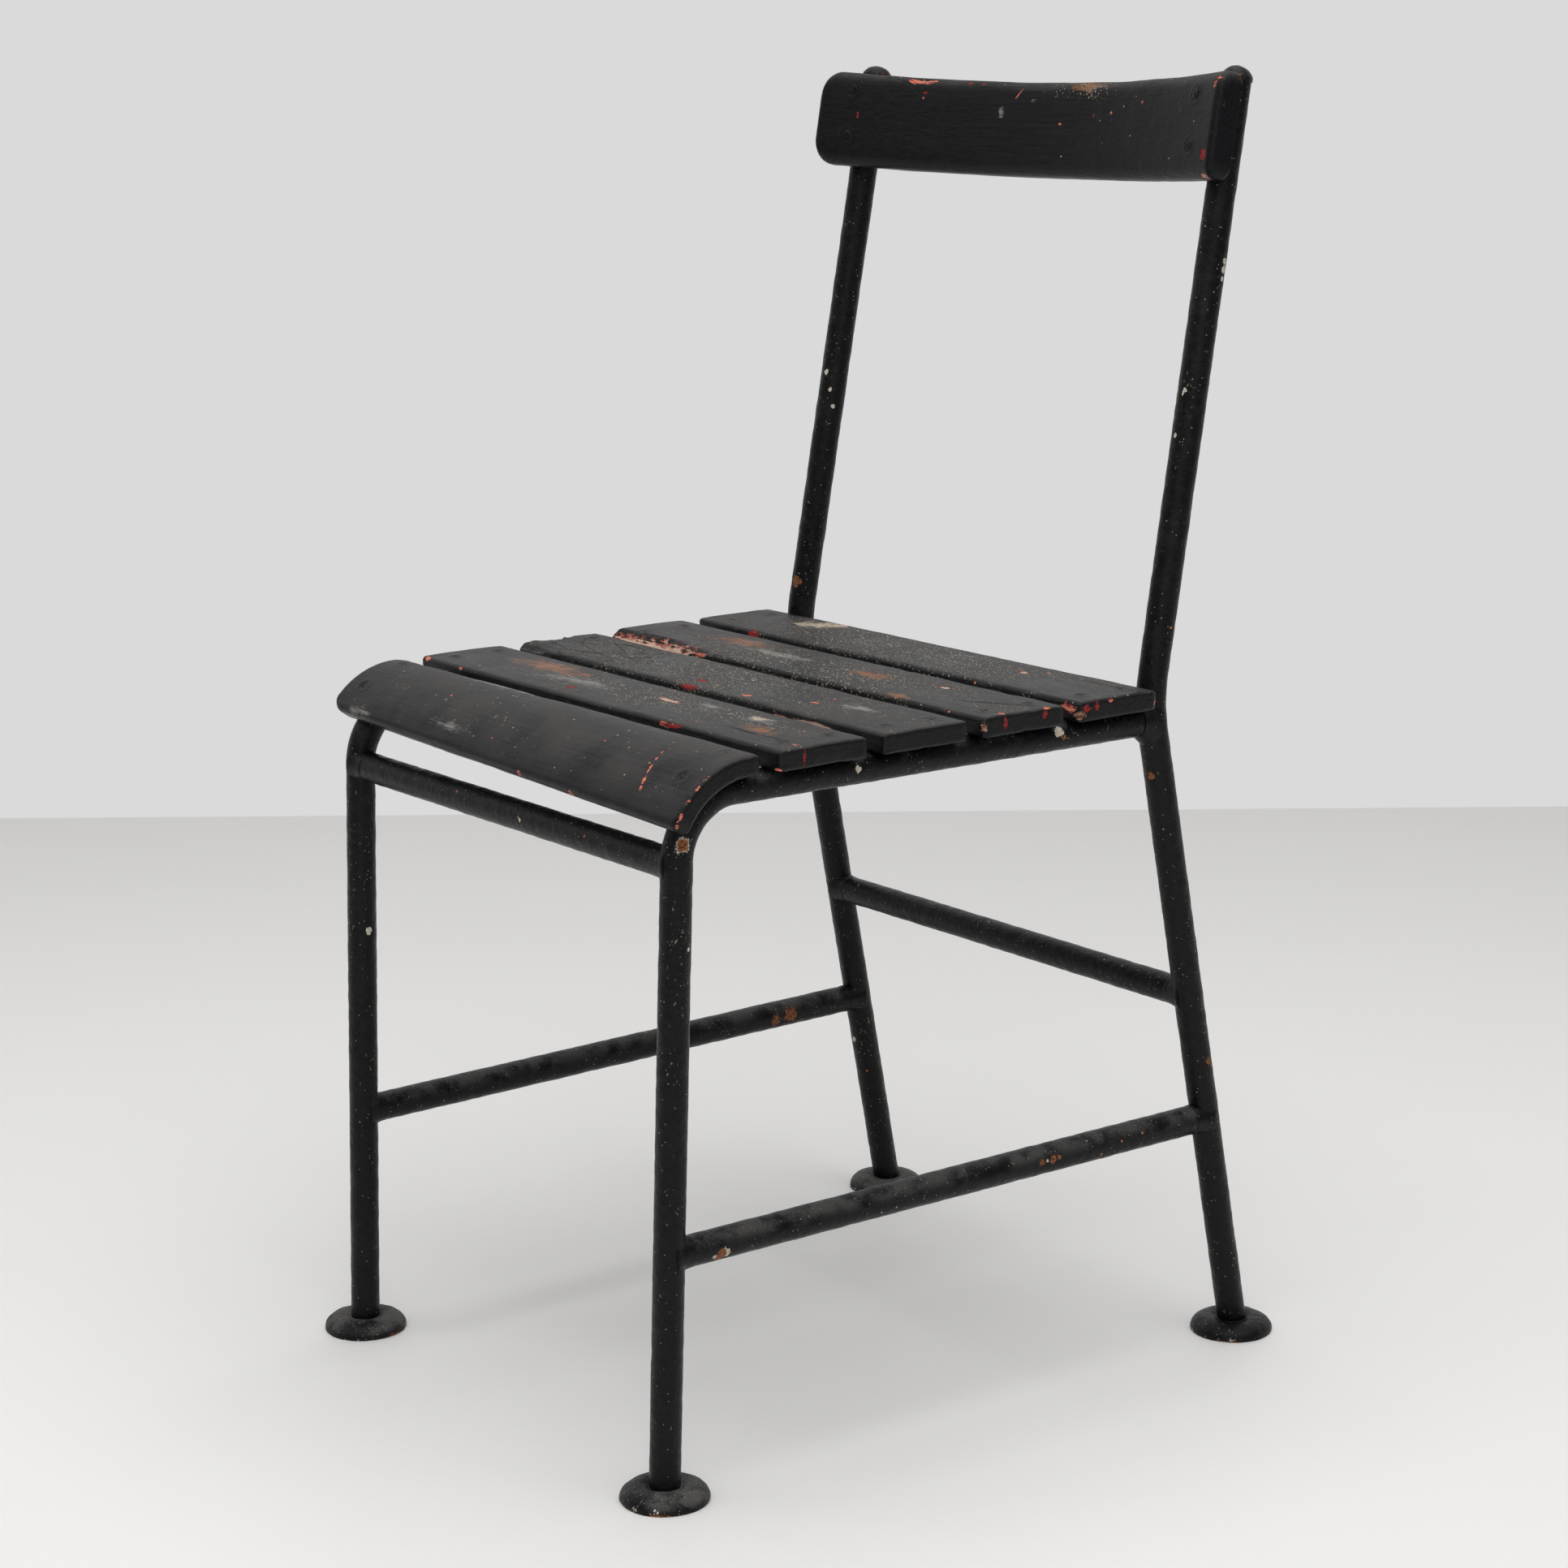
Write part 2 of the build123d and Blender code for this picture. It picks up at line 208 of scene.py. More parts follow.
def addSoftBox(name, place, aim, width, height, power):
    light = bpy.data.lights.new(name, "AREA")
    light.shape = "RECTANGLE"
    light.size = width
    light.size_y = height
    light.energy = power
    lamp = bpy.data.objects.new(name, light)
    lamp.location = place
    lamp.visible_camera = False
    lamp.rotation_euler = (Vector(aim) - Vector(place)).to_track_quat("-Z", "Y").to_euler()
    bpy.context.scene.collection.objects.link(lamp)


addCamera(viewpoint)
addStudio(studio)
for boxName, boxSizes in softBoxes.items():
    addSoftBox(boxName, *boxSizes)
print("stage: camera, studio")


# board paint: black over coral over red over wood
boardFields = ("coral", "red", "wood", "stain", "sand", "chalk", "crack", "split", "pale", "brown")
boardColors = dict(
    black=(0.0016, 0.0016, 0.0026), wornBlack=(0.0066, 0.0062, 0.0082), dust=(0.16, 0.148, 0.135),
    sand=(0.56, 0.46, 0.34), chalk=(0.60, 0.58, 0.54), rust=(0.27, 0.10, 0.032), coral=(0.64, 0.19, 0.12),
    red=(0.26, 0.018, 0.016), darkRed=(0.02, 0.008, 0.008), wood=(0.52, 0.36, 0.27), darkWood=(0.20, 0.10, 0.065),
    torn=(0.36, 0.19, 0.13), darkTorn=(0.085, 0.035, 0.024), groove=(0.003, 0.003, 0.003),
    spill=(0.62, 0.56, 0.45), darkSpill=(0.36, 0.26, 0.16), bump=0.0005,
)


def boardPaint(name, brush, specular):
    f = Finish(name)
    c = boardColors
    streak = f.noise(1.3, 4, brush, 0.65)  # brush marks along the board
    ridge = f.noise(3.2, 3, brush, shift=4)
    cloud = f.noise(36, 4, shift=2)
    worn = f.noise(6, 5, rough=0.65, shift=9)
    fiber = f.noise(1.6, 4, (9, 1, 1), 0.6, 13)
    blotch = f.noise(1.9, 4, (3, 1, 1), 0.65, 21)
    ragged = 0.95 * fiber + 0.75 * worn - 0.85
    top = f.step(f.upward(), 0.3, 0.9)
    color = f.mix(f.step(streak, 0.3, 0.75), c["black"], c["wornBlack"])
    film = top * f.step(cloud + 0.35 * streak, 0.45, 0.90)
    color = f.mix(film * 0.27, color, c["dust"])
    # sand, chalk and stains lie on the black
    sandy = f.step(f.field("sand") + 1.1 * cloud + 0.6 * worn, 1.05, 1.65)
    grains = (f.dots(1.7, 0.40, 0.36, 3) | f.dots(3.1, 0.40, 0.26, 8)) * sandy
    patch = f.step(f.noise(24, 4, rough=0.6, shift=27), 0.46, 0.62)
    grains = grains | top * patch * (f.dots(5.5, 0.34, 0.13, 17) | f.dots(3.0, 0.20, 0.18, 19))
    color = f.mix(grains * 0.85, color, c["sand"])
    scuff = f.step(f.field("chalk") + 1.5 * (fiber - 0.5) + 0.8 * (worn - 0.5), 0.45, 1.0)
    color = f.mix(scuff * 0.33, color, c["chalk"])
    stain = f.step(f.field("stain") + 1.2 * ragged, 0.52, 0.95)
    color = f.mix(stain * 0.75, color, c["rust"])
    # cracks and chips go through it, with coral here and there round bare wood
    lines = f.step(f.cells(17, 2, "Distance", (2.6, 1, 1), "DISTANCE_TO_EDGE") + 0.05 * worn, 0.055, 0.03)
    flake = f.step(f.field("crack") + ragged, 0.45, 0.55)
    groove = (lines * flake) | f.step(f.field("split") + 0.5 * ragged, 0.5, 0.6)
    nick = f.dots(11, 0.05, 0.11, 5) | f.dots(23, 0.2, 0.06, 6)
    rub = f.step(0.30 * f.field("edge") + worn, 1.01, 1.03)
    toCoral = f.step(f.field("coral") + ragged, 0.60, 0.64) | nick | rub
    toRed = f.step(f.field("red") + ragged, 0.60, 0.64)
    wooden = f.field("wood") + 0.6 * ragged
    toWood = f.step(wooden, 0.60, 0.64)
    toTorn = f.step(f.field("brown") + ragged, 0.60, 0.64)
    lining = f.step(wooden, 0.54, 0.58) * f.step(blotch, 0.42, 0.5) | toCoral
    color = f.mix(lining, color, f.mix(f.step(blotch, 0.52, 0.62), c["coral"], c["red"]))
    color = f.mix(toRed, color, f.mix(f.step(blotch, 0.50, 0.66), c["red"], c["darkRed"]))
    color = f.mix(toWood, color, f.mix(f.step(fiber, 0.28, 0.54), c["darkWood"], c["wood"]))
    color = f.mix(toTorn, color, f.mix(f.step(fiber, 0.40, 0.66), c["darkTorn"], c["torn"]))
    color = f.mix(groove, color, c["groove"])
    # pale spills on top of all
    spill = f.dots(13, 0.09, 0.09, 11) | f.dots(6, 0.10, 0.12, 23) | f.step(f.field("pale") + ragged, 0.56, 0.66)
    color = f.mix(spill * 0.8, color, f.mix(f.step(blotch, 0.4, 0.65), c["darkSpill"], c["spill"]))
    bare = lining | toRed | toWood | toTorn
    rough = 0.28 + 0.20 * streak + 0.22 * film + 0.2 * (bare | grains | scuff)
    height = 0.65 * streak + 0.7 * ridge + 0.45 * worn + 0.6 * grains + 0.8 * flake
    height = height - 0.8 * bare - 0.5 * toWood - 1.6 * groove
    return f.close(color, rough, height, c["bump"], specular)


# frame paint: thick black over tan and green, with rust below
tubeColors = dict(
    black=(0.0022, 0.0022, 0.0027), wornBlack=(0.0055, 0.0054, 0.0058), dust=(0.105, 0.102, 0.098),
    tan=(0.52, 0.43, 0.31), pale=(0.62, 0.60, 0.55), rust=(0.28, 0.11, 0.04), darkRust=(0.09, 0.03, 0.014),
    green=(0.20, 0.25, 0.17), chalk=(0.44, 0.40, 0.32), orange=(0.40, 0.16, 0.06), bump=0.0007, specular=0.18,
)


def tubePaint(name, dirt, gloss, specks):
    f = Finish(name)
    c = tubeColors
    lump = f.noise(4.5, 4, rough=0.6)
    pit = f.noise(1.2, 4, rough=0.6, shift=3)
    cloud = f.noise(20, 4, shift=5)
    worn = f.noise(5, 5, rough=0.7, shift=8)
    ragged = 0.5 * worn + 0.55 * pit - 0.525
    color = f.mix(f.step(lump, 0.35, 0.7), c["black"], c["wornBlack"])
    # a per-tube amount adds dust film; a negative amount, on the tubes under the seat, takes film away and darkens
    # them as painted shade
    dustAndShade = f.field("dust")
    settled = f.step(cloud + 0.4 * pit + dustAndShade, 0.82 - 0.35 * dirt, 1.05 - 0.35 * dirt)
    film = settled * f.step(f.upward(), -0.1, 0.9) * (dirt + 1.5 * dustAndShade)
    color = f.mix(film, color, c["dust"])
    peel = f.step(f.field("tan") + ragged, 0.55, 0.60)
    color = f.mix(peel, color, f.mix(f.step(pit, 0.42, 0.60), c["tan"], c["pale"]))
    loss = f.step(f.field("rust") + ragged, 0.55, 0.59)
    color = f.mix(loss, color, f.mix(f.step(pit, 0.40, 0.60), c["darkRust"], c["rust"]))
    old = f.step(f.noise(16, 3, (1, 1, 2.5), shift=15), 0.56, 0.66) | f.step(f.field("green"), 0.5, 0.7)
    green = old * f.step(f.noise(1.7, 3, (1, 1, 2), shift=12), 0.64, 0.68)
    color = f.mix(green * 0.8, color, c["green"])
    chalky = f.dots(9, 0.12, 0.09, 2) | f.dots(4.2, 0.15, 0.11, 4)
    chalky = chalky | f.dots(2.6, specks, 0.20, 14) | f.dots(1.7, specks, 0.26, 31)
    color = f.mix(chalky * 0.75, color, c["chalk"])
    color = f.mix(f.dots(12, 0.16, 0.09, 9), color, c["orange"])
    rough = gloss + 0.22 * lump + 0.25 * film + 0.3 * (loss | peel)
    height = 0.9 * lump + 0.5 * pit - 0.6 * (loss | peel) + 0.5 * (chalky | green)
    return f.close(color, rough, height, c["bump"], c["specular"])


slatFinish = boardPaint("slatPaint", (30, 1, 1), 0.24)
restFinish = boardPaint("backRestPaint", (40, 1, 1), 0.18)
tubeFinish = tubePaint("framePaint", 0.42, 0.22, 0.06)
footFinish = tubePaint("footPaint", 0.8, 0.34, 0.20)
cleanFootFinish = tubePaint("cleanFootPaint", 0.25, 0.28, 0.10)
screwFinish = tubePaint("screwPaint", 0.3, 0.18, 0.04)
print("stage: finishes")


def softNoise(points, size, seed):  # smooth lumps from -1 to 1, points in millimetres
    spot = points / size + 31.7 * seed
    cell = np.floor(spot).astype(np.int64)
    part = spot - cell
    part = part * part * (3 - 2 * part)
    total = np.zeros(len(points))
    for corner in itertools.product((0, 1), repeat=3):
        at = cell + corner
        code = (at[:, 0] * 73856093) ^ (at[:, 1] * 19349663) ^ (at[:, 2] * 83492791)
        code = (code ^ (code >> 13)) * 1274126177
        value = ((code >> 8) % 2048) / 1023.5 - 1
        total += value * np.prod(np.where(corner, part, 1 - part), axis=1)
    return total


def ramp(values, low, high):
    part = np.clip((values - low) / (high - low), 0, 1)
    return part * part * (3 - 2 * part)


def addPiece(name, mesh, finish, nodes):
    mesh.materials.clear()
    mesh.materials.append(finish)
    mesh.shade_smooth()
    piece = bpy.data.objects.new(name, mesh)
    bpy.context.scene.collection.objects.link(piece)
    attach(piece, "root")
    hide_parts(*nodes)


def storeFields(mesh, fields):  # the paint reads a field that is missing as 0
    for name, values in fields.items():
        mesh.attributes.new(name, "FLOAT", "POINT").data.foreach_set("value", np.asarray(values, np.float32))


def meshFrom(name, points, faces):  # points in millimetres; doubles merged and faces turned outwards
    mesh = bpy.data.meshes.new(name)
    mesh.from_pydata((np.asarray(points) * mm).tolist(), [], faces)
    work = bmesh.new()
    work.from_mesh(mesh)
    bmesh.ops.remove_doubles(work, verts=work.verts, dist=2e-6)
    bmesh.ops.dissolve_degenerate(work, edges=work.edges, dist=1e-6)
    bmesh.ops.recalc_face_normals(work, faces=work.faces)
    work.to_mesh(mesh)
    work.free()
    return mesh


def meshPoints(mesh, key="co"):
    flat = np.empty(3 * len(mesh.vertices), np.float32)
    mesh.vertices.foreach_get(key, flat)
    return flat.reshape(-1, 3).astype(float)


def movePoints(mesh, points):  # millimetres
    mesh.vertices.foreach_set("co", (points * mm).astype(np.float32).ravel())
    mesh.update()


def gridFaces(rings, loop):
    faces = []
    for i in range(rings - 1):
        for j in range(loop):
            k = (j + 1) % loop
            faces.append((i * loop + j, i * loop + k, (i + 1) * loop + k, (i + 1) * loop + j))
    return faces


# boards: a rounded section swept along x, with rounded ends, then bent to the board's own form
boardMesh = dict(step=1.25, cornerSteps=7, sideSteps=(46, 8, 46, 8), endRings=4)


def roundedLoop(half, thick, top, under, inset):
    half, thick = half - inset, thick - inset
    arcs = []
    for k, (a, b, radius) in enumerate(((1, 1, top), (-1, 1, top), (-1, -1, under), (1, -1, under))):
        r = min(max(radius - inset, 0), thick, half)
        turn = np.radians(np.linspace(90 * k, 90 * k + 90, boardMesh["cornerSteps"]))
        arcs.append(np.column_stack((a * (half - r) + r * np.cos(turn), b * (thick - r) + r * np.sin(turn))))
    loop = []
    for k, count in enumerate(boardMesh["sideSteps"]):
        start, end = arcs[k][-1], arcs[(k + 1) % 4][0]
        share = np.linspace(0, 1, count + 2)[1:-1, None]
        loop += [arcs[k], start + (end - start) * share]
    return np.vstack(loop)


def boardPoints(b):
    thick, end, reach = b["thickness"] / 2, b["endRadius"], b["length"] / 2
    turn = np.radians(np.linspace(90, 0, boardMesh["cornerSteps"]))
    flat = boardMesh["endRings"]
    insets = [*np.linspace(thick, end, flat + 1)[:-1], *(end - end * np.cos(turn))]
    tips = [reach] * flat + [*(reach - end + end * np.sin(turn))]
    middle = np.linspace(-tips[-1], tips[-1], int(b["length"] / boardMesh["step"]))[1:-1]
    along = [*(-x for x in tips), *middle, *reversed(tips)]
    depth = [*insets, *(0 for x in middle), *reversed(insets)]
    rings = []
    for x, inset in zip(along, depth):
        corner = b["cornerLeft"] if x > 0 else b["cornerRight"]
        past = min(max(abs(x) - reach + corner, 0), corner)
        cut = corner - math.sqrt(corner**2 - past**2)  # outline narrows towards a rounded corner
        loop = roundedLoop(b["width"] / 2 - cut, thick, b["topRadius"], b["underRadius"], inset)
        if inset < thick:  # an end may be left squarer at the back
            loop[loop[:, 1] < 0, 1] *= (thick - inset * (1 - b.get("squareBack", 0))) / (thick - inset)
        rings.append(np.column_stack((np.full(len(loop), x), loop)))
    return np.vstack(rings), gridFaces(len(rings), len(rings[0]))


def spotField(points, marks, seed):  # 1 at the heart of a mark, a half at its rim, with a wandering outline
    field = np.zeros(len(points))
    warp = 0.25 * softNoise(points, 7, seed) + 0.2 * softNoise(points, 3, seed + 1)
    for x, s, n, rx, rs, rn, *turn in marks:
        angle = math.radians(turn[0]) if turn else 0.0
        c, d = math.cos(angle), math.sin(angle)
        dx, ds, dn = points[:, 0] - x, points[:, 1] - s, points[:, 2] - n
        far = ((c * dx + d * ds) / rx) ** 2 + ((c * ds - d * dx) / rs) ** 2 + (dn / rn) ** 2
        field = np.maximum(field, 1 - np.sqrt(far) * (0.5 + 0.5 * warp))
    return field


def flatAim(place):
    return np.array((0.0, 0.0, 1.0))


def rolledAim(place):
    away = np.array((0.0, place[1] - frontSlat["centerY"], place[2] - frontSlat["centerZ"]))
    return away / np.linalg.norm(away)


def bowedAim(place):
    bend = place[0] / backRest["bowRadius"]
    c, s = math.cos(math.radians(backRest["lean"])), math.sin(math.radians(backRest["lean"]))
    return np.array((-math.sin(bend), -c * math.cos(bend), s * math.cos(bend)))


def screwSpots(node, aimAt, order):  # four to a board: left and right, near and far
    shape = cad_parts[node]
    world = shape.matrix_world
    points = (meshPoints(shape.data) @ np.array(world.to_3x3()).T + np.array(world.translation)) / mm
    middle = (points[:, order].min() + points[:, order].max()) / 2
    spots = []
    for side, near in itertools.product((1, -1), (1, -1)):
        group = points[(points[:, 0] * side > 0) & ((points[:, order] - middle) * near > 0)]
        heart = (group.min(axis=0) + group.max(axis=0)) / 2
        aim = aimAt(heart)
        tall = (group - heart) @ aim
        spots.append((heart + aim * tall.max(), aim))
    return spots


dimple = dict(depth=0.65, radius=3.4, rim=0.38, rimRadius=5.3, rimWidth=1.3, reach=5.0)


def paintedOver(points, spots):  # a filled hollow with a soft rim over every screw
    d = dimple
    push = np.zeros(len(points))
    for place, aim in spots:
        away = points - place
        along = away @ aim
        far = np.sqrt(np.maximum((away * away).sum(axis=1) - along * along, 0))
        rim = d["rim"] * np.exp(-(((far - d["rimRadius"]) / d["rimWidth"]) ** 2))
        hollow = rim - d["depth"] * np.exp(-((far / d["radius"]) ** 2))
        push += np.where(abs(along) < d["reach"], hollow, 0)
    return push


# wear of the boards, in millimetres along the surface's normal
wear = dict(swell=0.28, wave=0.10, grain=0.05, chip=0.25, bare=0.5, split=0.7, flake=0.35, dent=1.1, edge=6.0)


def wornAway(points, fields, edge, seed):
    w = wear
    push = w["swell"] * softNoise(points, 34, seed) + w["wave"] * softNoise(points, 9, seed + 1)
    push += w["grain"] * softNoise(points * (0.12, 1, 1), 2.4, seed + 2)
    push -= w["chip"] * ramp(np.maximum(fields["coral"], fields["red"]), 0.56, 0.68)
    push -= w["bare"] * ramp(np.maximum(fields["wood"], fields["brown"]), 0.56, 0.70)
    push -= w["split"] * ramp(fields["split"], 0.5, 0.9)
    lifted = ramp(softNoise(points * (0.4, 1, 1), 8, seed + 9), 0.0, 0.15)
    push += w["flake"] * ramp(fields["crack"], 0.5, 0.6) * lifted
    dents = np.clip(softNoise(points * (0.35, 1, 1), 7, seed + 4) - 0.3, 0, 1)
    return push - w["dent"] * edge * dents


def makeBoard(name, b, bend, finish, nodes, spots):
    local, faces = boardPoints(b)
    upper = np.clip(local[:, 2] / b["thickness"] * 2, 0, 1)
    local[:, 2] -= b["crown"] * upper * np.abs(local[:, 1] * 2 / b["width"]) ** 4
    local = breakAway(local, b)
    mesh = meshFrom(name, local, faces)
    local = meshPoints(mesh) / mm
    half = np.array((b["length"], b["width"], b["thickness"])) / 2
    gap = np.sort(half - abs(local), axis=1)
    edge = np.clip(1 - np.hypot(gap[:, 0], gap[:, 1]) / wear["edge"], 0, 1)
    movePoints(mesh, bend(local))
    points = meshPoints(mesh) / mm
    fields = {kind: spotField(local, b["marks"].get(kind, ()), b["seed"]) for kind in boardFields}
    push = wornAway(points, fields, edge, b["seed"]) + paintedOver(points, spots)
    movePoints(mesh, points + meshPoints(mesh, "normal") * push[:, None])
    storeFields(mesh, dict(fields, edge=edge))
    addPiece(name, mesh, finish, nodes)


splinter = dict(rag=0.25, size=3.0, grain=(0.08, 1, 0.2), steep=4)


def breakAway(local, b):  # wood split off the upper front corner, in ragged steps along the grain
    for x, s, reach, width, depth in b.get("breaks", ()):
        off = 1 - np.sqrt(((local[:, 0] - x) / reach) ** 2 + ((local[:, 1] - s) / width) ** 2)
        rag = splinter["rag"] * softNoise(local * splinter["grain"], splinter["size"], b["seed"] + 7)
        cut = np.clip((off + rag) * splinter["steep"], 0, 1) * depth
        upper = local[:, 2] > 0
        local[:, 2] = np.where(upper, np.minimum(local[:, 2], b["thickness"] / 2 - cut), local[:, 2])
    return local


# flat slats behind the front one; a mark is x, across, up, three radii and, where needed, a turn
seat = dict(top=450.3, first=-156.45, pitch=77.0)
flatSlat = dict(
    length=400.45, width=65.0, thickness=13.0, topRadius=3.0, underRadius=1.4, endRadius=2.2,
    cornerLeft=3.5, cornerRight=3.5, crown=0.5,
)
slatMarks = {
    2: dict(
        stain=[(-110, 12, 6.5, 44, 15, 8), (-72, 15, 6.5, 10, 4, 4), (143, -5, 6.5, 18, 8, 4)],
        chalk=[(-58, -1.6, 6.5, 40, 8, 5, 4), (119, 13, 6.5, 17, 6, 4), (66, 14, 6.5, 14, 5, 4)],
        pale=[(117, 14, 6.5, 9, 3.4, 4)],
        wood=[(36, 5.8, 6.5, 12, 3.8, 4)],
        red=[(-41, -18, 6.5, 6, 3, 4), (92, -32, 4, 13, 1.8, 2.2), (200, -15, 0, 3, 1.0, 8)],
        coral=[
            (84, -32.5, 4, 9, 1.8, 2.2), (193, -15.5, 6.5, 6, 1.4, 3), (197, -32, -5.5, 4, 2, 1.8),
            (-193, -31, 5, 6, 2.4, 2.4), (-150, -32, 5, 3, 1.8, 2),
        ],
        sand=[(20, 6, 6.5, 110, 22, 8)],
        split=[(150, -14, 6.5, 45, 0.8, 3, 2)],
    ),
    3: dict(
        crack=[(-150, -4, 6.5, 52, 40, 9)],
        red=[(-8, -15, 6.5, 6, 3, 3), (0, -31, 5, 10, 3, 4)],
        coral=[
            (50, -23.6, 6.5, 5, 2.5, 3), (97, -5, 6.5, 4, 2, 3), (96, -32.5, 0.5, 14, 1.2, 1.8),
            (-33, -32.5, -3, 12, 3, 3),
        ],
        wood=[(128, -32.5, 1, 26, 1.6, 2.4)],
        sand=[(-20, 0, 6.5, 120, 36, 8)],
        chalk=[(130, 4, 6.5, 16, 6, 4)],
    ),
    4: dict(
        wood=[(-152, -30, 3, 56, 9.5, 8), (200, -32.5, 1.5, 2.4, 1.4, 1.8), (108, 12, 6.5, 5, 3, 3)],
        red=[(-112, -31.5, 5, 14, 3, 3.4), (200, -16, 2, 4, 1.9, 7), (200, 16, 2.5, 3, 2.4, 3.4)],
        coral=[(-94, -32, 5, 12, 2, 2.4), (196, -16, 6.5, 7, 2, 3), (199, 18, 6.2, 2.6, 3.4, 1.3)],
        stain=[(-99, 11, 6.5, 34, 12, 6), (48, 1.6, 6.5, 24, 9, 6), (110, -27, 6.5, 14, 5, 4)],
        sand=[(8, -8, 6.5, 130, 32, 8)],
        brown=[(200, -32, 0.5, 4, 3.2, 3.6)],
        split=[(168, 1.7, 6.5, 34, 0.8, 3, 29.5)],
        chalk=[(-50, 0, 6.5, 40, 8, 5)],
    ),
    5: dict(
        chalk=[(-120, 17, 6.5, 22, 15, 6, 50)],
        pale=[(-120, 18, 6.5, 17, 12, 7, 40), (-130, 8, 6.5, 9, 5, 5)],
        wood=[
            (-112, 26, 6.5, 9, 4, 6, 20), (-86, 32.5, 5, 26, 2.5, 3), (199, -32, -4, 2.6, 2, 1.6),
            (101, 7, 6.5, 4, 2.5, 3), (112, 20, 6.5, 3, 2, 3),
        ],
        red=[(-134, -32.5, 4, 7, 2.5, 3), (200, -27, 2, 3, 4, 3.4), (200, -19, 3, 3, 2.5, 4)],
        sand=[(10, 0, 6.5, 120, 36, 8)],
        brown=[(198.5, -31, -2.5, 6, 4.4, 3.8)],
        coral=[(190, -32.5, 1, 8, 1.8, 3), (200, -7, 4.5, 2.5, 3, 1.5), (199, 31, -2, 2.5, 2.2, 2.4)],
        split=[(170, 18, 6.5, 30, 0.8, 3)],
    ),
}
slatBreaks = {4: [(-165, -36, 85, 15, 6.0)], 3: [(-190, -38, 30, 12, 4.0), (-204, -4, 9, 16, 3.0)]}
slatReach = {4: 6.0, 5: 6.0}  # these two run further out at the right end


def layFlat(number):
    def bend(local):
        middle = seat["first"] + (number - 2) * seat["pitch"] + flatSlat["width"] / 2
        longer = 1 + 2 * slatReach.get(number, 0) / flatSlat["length"]
        along = np.where(local[:, 0] < 0, longer, 1) * local[:, 0]
        return np.column_stack((along, local[:, 1] + middle, local[:, 2] + seat["top"] - flatSlat["thickness"] / 2))
    return bend


slatSpots = {number: screwSpots(f"seat_slat_{number}_screws", flatAim, 1) for number in slatMarks}
for number, marks in slatMarks.items():
    board = dict(flatSlat, seed=number, marks=marks, breaks=slatBreaks.get(number, []))
    makeBoard(f"seatSlat{number}", board, layFlat(number), slatFinish, [f"seat_slat_{number}"], slatSpots[number])

# front slat, rolled over the bend of the tubes; the lip hangs lower at the left end
frontSlat = dict(
    length=400.45, width=67.3, thickness=13.0, topRadius=4.5, underRadius=2.5, endRadius=3.2,
    cornerLeft=6.0, cornerRight=11.0, crown=0.6, seed=1,
    flat=8.0, centerY=-176.45, centerZ=387.575, radius=56.225, lipLeft=25.0, lipRight=36.0,
    marks=dict(
        coral=[
            (143, 5.5, 6.5, 3.4, 0.9, 5, -66), (145.2, 0.3, 6.5, 2.6, 1.1, 5, -62),
            (148.3, -7, 6.5, 4.6, 1.0, 5, -68), (151.5, -14, 6.5, 3.6, 1.6, 5, -64),
            (153.6, -19, 6.5, 2.0, 1.2, 5, -66), (199.3, -26, 4.0, 1.2, 4.4, 1.6),
            (199.2, -17.5, 4.6, 1.0, 3.4, 1.6), (199.1, -10, 4.9, 0.9, 3.0, 1.4),
            (198.8, -3, 5.2, 0.8, 2.4, 1.2), (198.4, -31, 3.0, 1.3, 2.4, 1.5), (32, -32.5, 3, 3, 3, 5),
            (89, -32.5, 2, 3.5, 3, 5), (163, -32, 1, 3, 2.5, 4), (-168, 31, 6, 5, 2, 2.4),
            (-186, 30, 5.5, 2.4, 1.8, 2),
        ],
        chalk=[
            (-60, -20, 6.5, 20, 3, 3), (-165, -30, 5, 16, 3, 4), (-72, 30, 6.5, 55, 5, 4),
            (-88, -3, 6.5, 2, 2, 3), (-26, -4, 6.5, 2, 2, 3),
        ],
    ),
)


def rollOver(local):
    b = frontSlat
    share = 0.5 + local[:, 0] / b["length"]
    lip = np.radians(b["lipRight"] + (b["lipLeft"] - b["lipRight"]) * share)
    run = b["width"] / 2 - b["flat"] - local[:, 1]  # along the bend, from its upper end
    sweep = run / (b["width"] - b["flat"]) * (math.pi / 2 - lip)
    angle = math.pi / 2 - np.maximum(sweep, 0)
    reach = b["radius"] + local[:, 2]
    y = b["centerY"] - reach * np.cos(angle) - np.minimum(run, 0)
    return np.column_stack((local[:, 0], y, b["centerZ"] + reach * np.sin(angle)))


frontSpots = screwSpots("front_seat_slat_screws", rolledAim, 1)
makeBoard("frontSeatSlat", frontSlat, rollOver, slatFinish, ["front_seat_slat"], frontSpots)

